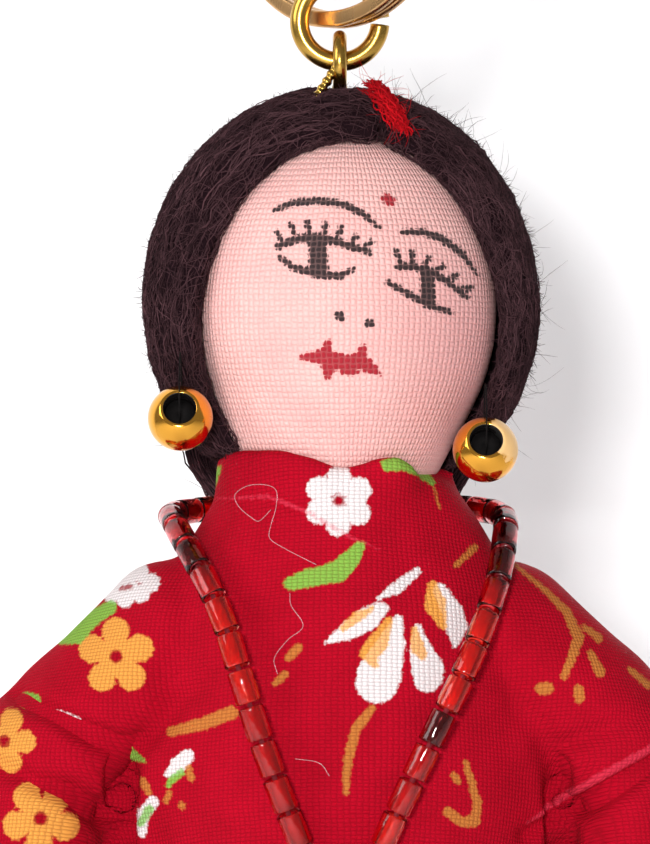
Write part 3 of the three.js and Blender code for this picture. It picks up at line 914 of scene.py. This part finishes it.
def screw_eye(brass):
    """The eye edge on, its shank in the head and the ridged end of its wire beside it."""
    turn = np.linspace(0, 2 * math.pi, 72, endpoint=False)
    radius = EYE["radius"]
    route = np.stack([0 * turn, radius * np.cos(turn), EYE["centre"] + radius * np.sin(turn)], 1)
    loop = swept(route, circle(EYE["wire"], 20), closed=True)
    shank = swept([(0, 0, EYE["centre"] - radius), (0, 0, EYE["shank_bottom"])], circle(EYE["shank"], 20))
    tail_route = through(EYE_TAIL, 40)
    ridges = 0.36 + 0.06 * np.sin(np.linspace(0, 14 * math.pi, len(tail_route)))
    tail = swept(tail_route, circle(1, 16), scale=ridges)
    piece("screw_eye_wire", joined([loop, shank, tail]), brass, "head", ["screw_eye"])


def rings():
    brass = metal("brass", BRASS, BRASS_TARNISHED, 0.16)
    key_ring()
    jump_ring(brass)
    screw_eye(brass)


# ---- Head ----

def head():
    form = stuffed([[HEAD, NECK]], 0.52, 10, 2)
    points = form.points
    turn = np.arctan2(points[:, 0] - 0.5, 0.5 - points[:, 1])
    thread = np.stack([turn * 11.2, points[:, 2] * 1.04, 0 * turn], 1)
    # painted shade: how far the face darkens, more towards +X and below z 8, none above z 20, where the key
    # light from -X reaches less
    painted_shade = 0.75 * ease(points[:, 0], 0, 11) * (1 - ease(points[:, 2], 8, 20))
    fields = {"thread": thread, "painted_shade": painted_shade, **face_fields(points)}
    face = piece("face_cover", form, face_cotton(), None, ["face_cloth", "head_stuffing"],
                 fields)
    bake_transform(face)


# ---- Hair ----

def tree_of(form):
    return BVHTree.FromPolygons([Vector(p) for p in form.points], form.faces)


def surface_samples(form, count, keep, chance):
    """Random places on a form's faces, where keep(centre, normal) says so."""
    points = np.asarray(form.points)
    corners = points[np.array([face[:3] for face in form.faces])]
    normals = np.cross(corners[:, 1] - corners[:, 0], corners[:, 2] - corners[:, 0])
    areas = np.linalg.norm(normals, axis=1)
    normals = normals / np.maximum(areas, 1e-9)[:, None]
    centres = corners.mean(1)
    kept = np.where(keep(centres, normals), areas, 0)
    chosen = chance.choice(len(centres), count, p=kept / kept.sum())
    return centres[chosen] + chance.normal(0, 0.12, (count, 3))


def comb(tree, start, flow, length, lift):
    """A strand that starts on the surface and follows the flow over it."""
    route = []
    point = Vector(start)
    for i in range(int(length / STRAND_STEP)):
        near, normal, _, _ = tree.find_nearest(point)
        heading = flow(near)
        heading = heading - normal * heading.dot(normal)
        if heading.length < 0.15:
            break
        if i and (near - last).length < 0.3 * STRAND_STEP:
            break
        last = near
        route.append(near + normal * lift)
        point = near + heading.normalized() * STRAND_STEP
    return route


def lobe_flow(sign):
    wide = FACE_OPENING["wide"]
    high = FACE_OPENING["high"]

    def flow(point):
        back = float(ease(point.y, -4, 8))
        across = (point.x - FACE_OPENING["x"] * (1 - back) + 0.5 * back) / wide
        up = (point.z - FACE_OPENING["z"] * (1 - back) + 4 * back) / high
        rearward = 8 * float(1 - ease(point.z, -2, 10))
        heading = Vector((sign * wide * up, rearward, -sign * high * across))
        return heading.normalized() + 0.45 * noise.noise_vector(point * 0.7)

    return flow


def tail_flow(point):
    x, y, z = HAIR_TIE["at"]
    if point.z > z + 1:
        return (Vector((x, y, z - 4)) - point).normalized() + 0.15 * noise.noise_vector(point * 0.5)
    return Vector((0.2 * (point.x - x), 0.1 * (point.y - y), -1)) + 0.2 * noise.noise_vector(point * 0.5)


def waved(route, size, chance):
    """The same strand with a slight wave of its own."""
    route = np.array([tuple(point) for point in route])
    along = np.arange(len(route)) * STRAND_STEP
    phases = chance.uniform(0, 2 * math.pi, (2, 3))
    waves = np.sin(along[:, None] * 1.4 + phases[0]) + 0.5 * np.sin(along[:, None] * 3.3 + phases[1])
    return route + size * waves


def fibres(name, routes, radii, finish, chance):
    """Many strands of the head as one object, each with its own shade and a radius between the two given."""
    forms = []
    shades = []
    for route, radius in zip(routes, chance.uniform(*radii, len(routes))):
        count = len(route)
        taper = np.minimum(1, 0.35 + 0.65 * np.minimum(np.arange(count), np.arange(count)[::-1]) / 2.5)
        forms.append(swept(route, circle(radius, STRAND_SIDES), scale=taper))
        shades += [chance.uniform(0.1, 1.6)] * (count * STRAND_SIDES)
    return piece(name, joined(forms), finish, "head", fields={"shade": np.array(shades)})


def from_opening(points):
    """How far out each point lies from the middle of the face's opening, 1 on its edge."""
    across = (points[:, 0] - FACE_OPENING["x"]) / FACE_OPENING["wide"]
    up = (points[:, 2] - FACE_OPENING["z"]) / FACE_OPENING["high"]
    return np.hypot(across, up)


def clear_of_face(routes):
    """The routes, each cut short where it first crosses into the face's opening."""
    kept = []
    for route in routes:
        over_face = (from_opening(route) < 0.96) & (route[:, 1] < -2.5)
        count = int(np.argmax(over_face)) if over_face.any() else len(route)
        if count > 3:
            kept.append(route[:count])
    return kept


def laid_back(form, sign):
    """The lobe with its inner edge leaning back, so that it frames the face without shading it."""
    points = np.array(form.points)
    near = 1 - ease(from_opening(points), 1.02, 1.5)
    forward = np.minimum(points[:, 1] + 2.5, 0)
    points[:, 1] -= 0.5 * near * forward
    low = 1 - ease(points[:, 2], 8, 20)
    points[:, 0] += sign * 0.6 * near * low * (points[:, 1] < 0)
    return Form(points, form.faces)


def fuzz(tree, starts, chance, reach, step=0.45):
    """Loose curled fibres that stand off the wool."""
    routes = []
    for start in starts:
        near, normal, _, _ = tree.find_nearest(Vector(start))
        heading = Vector(chance.normal(0, 1, 3))
        heading = (heading - normal * heading.dot(normal)).normalized() + normal * chance.uniform(0.1, 0.8)
        curl = Vector(chance.normal(0, 0.26, 3))
        point = near + normal * 0.1
        route = []
        for _ in range(int(chance.uniform(0.4, 1) * reach / step)):
            route.append(point.copy())
            heading = (heading + curl + Vector(chance.normal(0, 0.09, 3))).normalized()
            point = point + heading * step
        if len(route) > 3:
            routes.append(np.array([tuple(p) for p in route]))
    return routes


def combed(tree, starts, flow, chance, lengths, heights, wave):
    """Strands combed from their starts, each with its own length, height over the wool and wave."""
    routes = [comb(tree, start, flow, chance.uniform(*lengths), chance.uniform(*heights)) for start in starts]
    return [waved(route, wave, chance) for route in routes if len(route) > 4]


def crimps(tree, starts, chance):
    """Short crinkled fibres that lie just over the wool in every direction."""
    routes = []
    for start in starts:
        near, normal, _, _ = tree.find_nearest(Vector(start))
        heading = Vector(chance.normal(0, 1, 3))
        turn = Vector(chance.normal(0, 0.3, 3))
        point = near
        route = []
        for _ in range(chance.integers(5, 10)):
            near, normal, _, _ = tree.find_nearest(point)
            route.append(near + normal * (0.32 + 0.1 * chance.uniform(-1, 1)))
            heading = heading + turn + Vector(chance.normal(0, 0.3, 3))
            heading = (heading - normal * heading.dot(normal)).normalized()
            point = near + heading * 0.4
        routes.append(np.array([tuple(p) for p in route]))
    return routes


def hair_lobe(name, sign, strand_wool, under_wool, chance):
    """One side of the hair: a padded lobe under combed strands, crimps, loose fuzz and a short nap."""
    node = f"hair_{name}"
    form = laid_back(softened(cad_form(node), 0.55, 8, 1), sign)
    piece(f"{node}_lobe", form, under_wool, "head", [node])
    tree = tree_of(form)

    def outer(centres, normals):
        rim = (np.abs(from_opening(centres) - 1) < 0.1) & (centres[:, 1] < -2.5)
        return rim | (np.sum(unit(centres - LOBE_CENTRE) * normals, 1) > -0.25)

    def starts(count):
        return surface_samples(form, count, outer, chance)

    def layer(kind, routes, radii):
        fibres(f"{node}_{kind}", clear_of_face(routes), radii, strand_wool, chance)

    strands = combed(tree, starts(3000), lobe_flow(sign), chance, lengths=(4, 10), heights=(-0.1, 0.25),
                     wave=0.16)
    layer("strands", strands, radii=(0.04, 0.085))
    layer("crimps", crimps(tree, starts(4200), chance), radii=(0.02, 0.045))
    layer("fuzz", fuzz(tree, starts(420), chance, reach=3.6 + 1.2 * sign), radii=(0.01, 0.02))
    layer("nap", fuzz(tree, starts(6500), chance, reach=1.5, step=0.24), radii=(0.018, 0.034))


def hair_back(strand_wool, under_wool, chance):
    """The wool behind the neck, drawn together at the tie."""
    form = softened(cad_form("hair_back"), 0.5, 6, 1)
    piece("hair_back_form", form, under_wool, "head", ["hair_back"])
    tree = tree_of(form)

    def below_crown(centres, normals):
        return centres[:, 2] < 12

    starts = surface_samples(form, 1500, below_crown, chance)
    routes = combed(tree, starts, tail_flow, chance, lengths=(5, 16), heights=(-0.05, 0.3), wave=0.1)
    fibres("hair_back_strands", routes, (0.05, 0.11), strand_wool, chance)
    loose = fuzz(tree, surface_samples(form, 160, below_crown, chance), chance, reach=4)
    fibres("hair_back_fuzz", loose, (0.014, 0.03), strand_wool, chance)


def hair():
    strand_wool = wool("hair_wool", WOOL_DARK, WOOL_LIGHT)
    under_wool = wool_base("hair_under", WOOL_UNDER, WOOL_DARK)
    chance = np.random.default_rng(11)
    for name, sign in SIDES:
        hair_lobe(name, sign, strand_wool, under_wool, chance)
    hair_back(strand_wool, under_wool, chance)


def parting_thread():
    chance = np.random.default_rng(5)
    finish = wool("red_thread", (0.32, 0.002, 0.006), RED_WOOL)
    route = through(PARTING_THREAD, 10)
    routes = []
    for _ in range(90):
        offset = chance.normal(0, 0.3, 3)
        first = chance.integers(0, 10)
        routes.append(waved(route[first:first + 24] + offset, 0.12, chance))
    core = fibres("parting_wool", routes, (0.05, 0.1), finish, chance)
    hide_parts("parting_thread")
    form = swept(route, circle(0.5, 12))
    starts = surface_samples(form, 90, lambda centres, normals: centres[:, 2] > 0, chance)
    loose = fuzz(tree_of(form), starts, chance, reach=3)
    fibres("parting_fuzz", loose, (0.015, 0.03), finish, chance)


def hair_tie():
    x, y, z = HAIR_TIE["at"]
    turns = HAIR_TIE["turns"]
    turn = np.linspace(0, 2 * turns * math.pi, 150)
    radius = HAIR_TIE["radius"] - 0.3
    rise = 0.5 * (turn / math.pi / turns - 1)
    route = np.stack([x + radius * np.cos(turn), y + radius * np.sin(turn), z + rise], 1)
    thread = plain_thread("tie_thread", (0.3, 0.002, 0.01), RED_WOOL)
    piece("hair_tie_wrap", swept(route, circle(HAIR_TIE["thread"] - 0.05, 10)), thread, "head",
          ["hair_tie"])


# ---- Earrings ----

def leaned(form):
    """A form turned about Z, laid along Y and then leaned as the bead hangs."""
    lean = math.radians(EARRING["lean"])
    tilt = np.array([[1, 0, 0], [0, math.cos(lean), -math.sin(lean)], [0, math.sin(lean), math.cos(lean)]])
    return Form(np.asarray(form.points)[:, [0, 2, 1]] * (1, -1, 1) @ tilt, form.faces)


def bead_and_knot():
    """The bead with its hole, how far each point is from the hole's inside, where painted shade goes, and the
    knot in the hole.
    """
    bead = EARRING["bead"]
    hole = EARRING["hole"]
    mouth = math.sqrt(bead**2 - hole**2)
    rim = [(math.sqrt(bead**2 - h**2), h) for h in np.linspace(-mouth, mouth, 28)]
    inner = [(hole - 0.12, mouth - 0.1), (hole - 0.15, 0), (hole - 0.12, -mouth + 0.1)]
    form = turned(rim + inner, 64)
    # marks the hole's inside, which the gold bead paints near-black as shade
    hole_shade = np.where(np.linalg.norm(form.points[:, :2], axis=1) < hole - 0.05, -0.5, 0.5)
    knot = turned([(0.01, -1.1), (hole - 0.2, -0.9), (hole - 0.2, 0.9), (0.01, 1.1)], 24)
    return leaned(form), hole_shade, leaned(knot)


def earrings():
    gold = gold_bead()
    dark = plain_thread("dark_thread", (0.003, 0.003, 0.003), (0.008, 0.006, 0.006))
    # the bead's second field marks the hole's inside for painted shade
    bead, hole_shade, knot = bead_and_knot()
    turn = np.linspace(0, 2 * math.pi, 60, endpoint=False)
    loop = EARRING["loop"]
    for name, _ in SIDES:
        side, limit = WORN_PATCH[name]
        worn = limit - unit(bead.points) @ unit(np.array(side))
        at = np.array(EARRINGS[name])
        piece(f"earring_{name}_gold", Form(bead.points + at, bead.faces), gold,
              f"earring_{name}", [f"earring_bead_{name}"], {"worn": worn, "hole_shade": hole_shade})
        route = at + np.stack([0 * turn, loop * np.cos(turn), EARRING["rise"] + loop * np.sin(turn)], 1)
        thread = swept(route, circle(EARRING["thread"], 10), closed=True)
        piece(f"earring_{name}_loop", joined([thread, Form(knot.points + at, knot.faces)]), dark,
              f"earring_{name}", [f"earring_thread_{name}"])


# ---- Blouse and arms ----

def pressed(form, lines, width):
    """Creases pressed into the front of the cloth along flat lines of (x, z, depth)."""
    normals = normals_of(form)
    flat = form.points[:, [0, 2]]
    facing = ease(-normals[:, 1], -0.2, 0.4)
    depth = np.zeros(len(flat))
    for away, deep in along_strokes(flat, lines):
        press = deep * np.exp(-(away / width) ** 2)
        depth = np.where(np.abs(press) > np.abs(depth), press, depth)
    return Form(form.points - normals * (depth * facing)[:, None], form.faces)


def rumpled(form, scale, height):
    """Soft dents and lumps from the stuffing under the cloth."""
    normals = normals_of(form)
    lumps = np.array([noise.noise(Vector(p) * scale) for p in form.points])
    return Form(form.points + normals * (height * lumps)[:, None], form.faces)


def cloth_thread(points):
    """Each point's place in the weave: the threads follow the cloth back round the sides."""
    x, y, z = points.T
    return np.stack([x + 1.1 * np.tanh(x / 28) * y, z + 0.3 * y, 0 * x], 1)


CREASES = [
    [(-16.2, -21.8, 0.8), (-16.8, -24, 2.4), (-17, -29, 2.8), (-17.4, -33, 0.3)],
    [(-16.8, -22.2, 1.5), (-18.6, -21.3, 1.6), (-22, -19.4, 1.3), (-26.4, -17.5, 0.8)],
    [(-17.2, -28.4, 1.5), (-20.6, -25.5, 1.4), (-26.4, -23.3, 0.8)],
    [(-16.2, -22.4, 1.1), (-13.5, -20.3, 0.8), (-12.3, -18.3, 0.6), (-9, -16.2, 0.1)],
    [(16.2, -21.8, 0.3), (16.8, -24, 1.2), (17, -29, 2.4), (17.4, -33, 0.3)],
    [(14.5, -29, 0.6), (17.6, -27.2, 1.2), (20.6, -25.2, 1.4), (24.5, -22.8, 1.1)],
    [(17, -22, 0.7), (20, -20.8, 0.5), (25, -18.6, 0.1)],
]
# Raised folds. The first, along the neckline, carries the real light-red frayed edge. The second, on the
# right, carries a painted highlight along its ridge.
FOLDS = [
    [(-9.5, -3, 0.05), (-5.5, -2.8, 0.16), (-2.4, -4, 0.16), (0.4, -5.7, 0.12), (3.1, -6.9, 0.05)],
    [(14.5, -28, 0.1), (17.3, -26.2, 0.3), (20.4, -24.1, 0.35), (24.2, -21.9, 0.3)],
]


def cut(form, keep):
    """The faces whose centre passes keep with their points renumbered, and which points those were."""
    points = np.asarray(form.points)
    centres = np.array([points[list(face)].mean(0) for face in form.faces])
    kept = [face for face, centre_kept in zip(form.faces, keep(centres)) if centre_kept]
    used = np.unique(np.concatenate([np.array(face) for face in kept]))
    renumber = np.full(len(points), -1)
    renumber[used] = np.arange(len(used))
    return Form(points[used], [tuple(renumber[list(face)]) for face in kept]), used


def armhole(points):
    """How far from the middle the sleeve begins at each point's height."""
    return ARMHOLE + ARMPIT * ease(-points[:, 2], 17.5, 21.5)


def collar():
    """A band round the neck, drawn close over the face's cloth, whose top follows the neckline."""
    neck = tree_of(stuffed([[HEAD, NECK]], 0.6, 8, 1))
    rows = []
    for turn in np.linspace(0, 2 * math.pi, 96, endpoint=False):
        outward = Vector((math.cos(turn), math.sin(turn), 0))
        side = COLLAR[-1][0] * outward.x
        top = float(np.interp(side, *np.transpose(COLLAR))) if outward.y < 0 else COLLAR_BACK
        row = []
        for z, edge in ((COLLAR_BOTTOM, "inside"), (COLLAR_BOTTOM, "bottom"), (top, "top"), (top, "inside")):
            out = COLLAR_BAND[edge]
            centre = Vector((NECK[0][0], NECK[0][1], max(z, -1.5)))
            hit = neck.ray_cast(centre + outward * OUTSIDE, -outward)[0]
            row.append((hit.x + out * outward.x, hit.y + out * outward.y, z))
        rows.append(row)
    return Form(np.reshape(rows, (-1, 3)), ring_faces(len(rows), 4, inside_out=True))


def fused_cloth():
    """The torso, both arms and the collar as one soft surface."""
    limbs = [TORSO]
    for _, sign in SIDES:
        limbs += [mirrored(ARM, sign), mirrored(FLANK, sign)]
    return softened(joined([collar()] + spans_of(limbs)), 0.5, 9, 1)


def trued(form):
    """The form with the points along each armhole moved onto its line, so that the cut is clean."""
    points = np.array(form.points)
    in_sleeve = np.zeros(len(points), bool)
    in_body = np.zeros(len(points), bool)
    for face in form.faces:
        centre = points[list(face)].mean(0)
        sleeved = abs(centre[0]) > armhole(centre[None])[0]
        (in_sleeve if sleeved else in_body)[list(face)] = True
    seam = in_sleeve & in_body
    points[seam, 0] = np.sign(points[seam, 0]) * armhole(points[seam])
    return Form(points, form.faces)


def under_layers(crimson):
    """Closed forms just inside the cloth, which show only where a lifted arm opens the armpit."""
    rows = [("torso_under", TORSO, "torso", "torso_stuffing")]
    for name, sign in SIDES:
        rows.append((f"arm_under_{name}", mirrored(ARM, sign), f"arm_{name}", f"arm_stuffing_{name}"))
    for name, stations, body, node in rows:
        inner = [(at, tuple(r - 0.8 for r in radii)) for at, radii in stations]
        form = stuffed([inner], 0.8, 6, 1)
        plain = np.full(len(form.points), FAR_FROM_INK)
        fields = {f"ink_{ink}": plain for ink in INKS}
        fields["thread"] = cloth_thread(form.points)
        piece(name, form, crimson, body, [node], fields)


def creased_cloth():
    """The whole blouse as one surface, with its dents, creases and raised folds."""
    form = rumpled(fused_cloth(), 0.22, 0.35)
    form = pressed(form, CREASES, 0.85)
    return trued(pressed(form, [[(x, z, -rise) for x, z, rise in fold] for fold in FOLDS], 0.3))


def blouse_fields(points):
    """The chest's print at the front, a scattered print behind and low down, and the weave's place."""
    flat = points[:, [0, 2]]
    front = ink_fields(flat, chest_print())
    back = ink_fields(flat, scattered_print(60, -46, 2, 9, 3))
    scattered = (points[:, 1] > 1) | (points[:, 2] < CHEST_PRINT_BOTTOM)
    fields = {key: np.where(scattered, back[key], front[key]) for key in front}
    fields["thread"] = cloth_thread(points)
    return fields


def blouse(crimson):
    under_layers(crimson)
    form = creased_cloth()
    fields = blouse_fields(form.points)
    normals = normals_of(form)

    def cloth_part(name, keep, node):
        part, used = cut(form, keep)
        part_fields = {key: values[used] for key, values in fields.items()}
        obj = piece(name, part, crimson, None, [node], part_fields)
        obj.data.normals_split_custom_set_from_vertices([tuple(normal) for normal in normals[used]])
        return obj

    body = cloth_part("blouse_body", lambda centres: np.abs(centres[:, 0]) <= armhole(centres), "blouse")
    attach(body, "torso")
    for side, sign in SIDES:
        sleeve = cloth_part(f"sleeve_{side}_cloth", lambda centres: sign * centres[:, 0] > armhole(centres),
                            f"sleeve_{side}")
        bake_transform(sleeve)
    return form


def loose_threads(cloth):
    """Fine clear thread left lying on the front of the blouse."""
    tree = tree_of(cloth)
    finish = clear_thread()
    for number, line in enumerate(LOOSE_THREADS, 1):
        route = []
        for x, z in through(line, 6):
            near, normal, _, _ = tree.ray_cast(Vector((x, -OUTSIDE, z)), Vector((0, 1, 0)))
            route.append(near + normal * 0.12)
        piece(f"loose_thread_{number}", swept(np.array([tuple(p) for p in route]), circle(0.03, 8)), finish,
              "torso")


def hands():
    skin = face_cotton(painted=False)
    for name, sign in SIDES:
        form = stuffed([mirrored(HAND, sign)], 0.3, 6, 1)
        lines = [[(sign * at, -47.6, 0), (sign * (at - 0.1), -49.4, 0.3), (sign * (at - 0.2), -51.2, 0.35)]
                 for at in FINGER_GAPS]
        form = pressed(form, lines, 0.16)
        x, y, z = form.points.T
        thread = np.stack([x + y, z, 0 * x], 1)
        obj = piece(f"hand_{name}_cover", form, skin, f"arm_{name}", [f"hand_{name}"],
                    {"thread": thread})


# ---- Skirt ----

def skirt_route(share, outwards, turn):
    """A point row round the skirt at a share of its height, 0 at the waist and 1 at the hem."""
    radius = np.interp(share, [0, 0.5, 1], [SKIRT["waist"], SKIRT["belly"], SKIRT["hem"]])
    gather = 0.35 + 1.0 * share
    ripple = gather * (np.sin(15 * turn + 0.8 * np.sin(3 * turn)) + 0.4 * np.sin(23 * turn + 2))
    radius = radius - 0.5 + outwards + 0.55 * ripple
    z = SKIRT["top"] + share * (SKIRT["bottom"] - SKIRT["top"])
    return np.stack([radius * np.cos(turn), SKIRT["depth"] * radius * np.sin(turn), z + 0 * turn], 1)


def skirt(crimson):
    turn = np.linspace(0, 2 * math.pi, 480, endpoint=False)
    shares = np.linspace(0, 1, 90)
    outside = [skirt_route(share, 0, turn) for share in shares]
    inside = [skirt_route(share, -SKIRT["cloth"], turn) for share in shares[::-1]]
    rings = np.array(outside + inside)
    faces = ring_faces(len(rings), len(turn), inside_out=True)
    points = rings.reshape(-1, 3)
    arc = np.tile(turn - math.pi, len(rings)) * SKIRT["spread"]
    flat = np.stack([arc, points[:, 2]], 1)
    fields = ink_fields(flat, scattered_print(132, -82, -40, 10.2, 9))
    fields["thread"] = np.stack([arc, points[:, 2], 0 * arc], 1)
    return piece("skirt_cloth", Form(points, faces), crimson, "skirt", ["skirt"], fields)


def hem_lace():
    """Two cords round the hem with two crossing waves of thread between them."""
    gold = metal("gold_lace", (0.72, 0.44, 0.12), (0.5, 0.28, 0.07), 0.3)
    turn = np.linspace(0, 2 * math.pi, 960, endpoint=False)
    length = SKIRT["top"] - SKIRT["bottom"]
    cords = []
    for rise in (0.35, 2.9):
        cords.append(swept(skirt_route(1 - rise / length, 0.5, turn), circle(0.26, 8), closed=True))
    for phase in (0, math.pi):
        wave = 1.6 + 1.15 * np.sin(60 * turn + phase)
        route = skirt_route(1, 0.55, turn)
        route[:, 2] += wave
        cords.append(swept(route, circle(0.2, 6), closed=True))
    return piece("hem_lace_braid", joined(cords), gold, "skirt", ["hem_lace"])


def waist_cord():
    """Three strands twisted round each other."""
    turn = np.linspace(0, 2 * math.pi, 720, endpoint=False)
    strands = []
    for phase in (0, 2 * math.pi / 3, 4 * math.pi / 3):
        radius = WAIST_CORD["radius"] + WAIST_CORD["twist"] * np.cos(40 * turn + phase)
        height = WAIST_CORD["height"] + WAIST_CORD["twist"] * np.sin(40 * turn + phase)
        route = np.stack([radius * np.cos(turn), SKIRT["depth"] * radius * np.sin(turn), height], 1)
        strands.append(swept(route, circle(WAIST_CORD["strand"], 8), closed=True))
    piece("waist_cord", joined(strands), plain_thread("waist_thread", CRIMSON_DARK, CRIMSON),
          "skirt", ["waistband"])


# ---- Necklace ----

def bead_form():
    radius = BEAD["radius"]
    lining_radius = BEAD["lining"]
    hole = BEAD["hole"]
    rim = BEAD["rim"]
    half = BEAD["length"] / 2
    corner = [(radius - rim + rim * math.cos(a), half - rim + rim * math.sin(a))
              for a in np.linspace(0, math.pi / 2, 5)]
    outside = [(r, -h) for r, h in corner[::-1]] + corner
    bore = lining_radius + BEAD["off_middle"] + 0.02
    glass_profile = outside + [(bore, half), (bore, half - 0.1), (bore, 0.1 - half), (bore, -half)]
    lining_profile = [(lining_radius, -half + 0.05), (lining_radius, half - 0.05),
                      (hole, half - 0.05), (hole, -half + 0.05)]
    inner = turned(lining_profile, 24)
    return turned(glass_profile, 32), Form(inner.points + (BEAD["off_middle"], 0, 0), inner.faces)


def bead_meshes():
    """One mesh for each colour of glass: a clear tube round an opaque lining."""
    glass_form, lining_form = bead_form()
    whole = joined([glass_form, lining_form])
    meshes = []
    for name, (clear, bright, deep) in BEAD_COLOURS.items():
        mesh = mesh_of("glass_bead", np.asarray(whole.points) * MM, whole.faces)
        mesh.shade_smooth()
        mesh.materials.append(glass(f"{name}_glass", clear))
        mesh.materials.append(lining(f"{name}_lining", bright, deep))
        for face in mesh.polygons[len(glass_form.faces):]:
            face.material_index = 1
        meshes.append(mesh)
    return meshes


def necklace():
    meshes = bead_meshes()
    chance = random.Random(4)
    for name, _ in SIDES:
        for i in range(BEADS_EACH_SIDE):
            node = f"necklace_bead_{name}_{i + 1}"
            corners = form_of(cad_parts[node].data).points
            centre = corners.mean(0)
            axis = np.linalg.svd(corners - centre, full_matrices=False)[2][0]
            obj = bpy.data.objects.new(f"glass_bead_{name}_{i + 1}", chance.choices(meshes, BEAD_SHARES)[0])
            bpy.context.collection.objects.link(obj)
            obj.location = centre
            obj.rotation_mode = "QUATERNION"
            obj.rotation_quaternion = Vector(axis).to_track_quat("Z", "Y")
            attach(obj, "necklace")
            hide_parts(node)
    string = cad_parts["necklace_string"]
    string.data.materials.clear()
    string.data.materials.append(plain_thread("necklace_thread", (0.10, 0.01, 0.015), (0.3, 0.03, 0.04)))


camera()
studio()
stage()
rings()
head()
hair()
parting_thread()
hair_tie()
earrings()
crimson_cloth = crimson_print()
loose_threads(blouse(crimson_cloth))
hands()
skirt_cloth = skirt(crimson_cloth)
lace_braid = hem_lace()
waist_cord()
necklace()
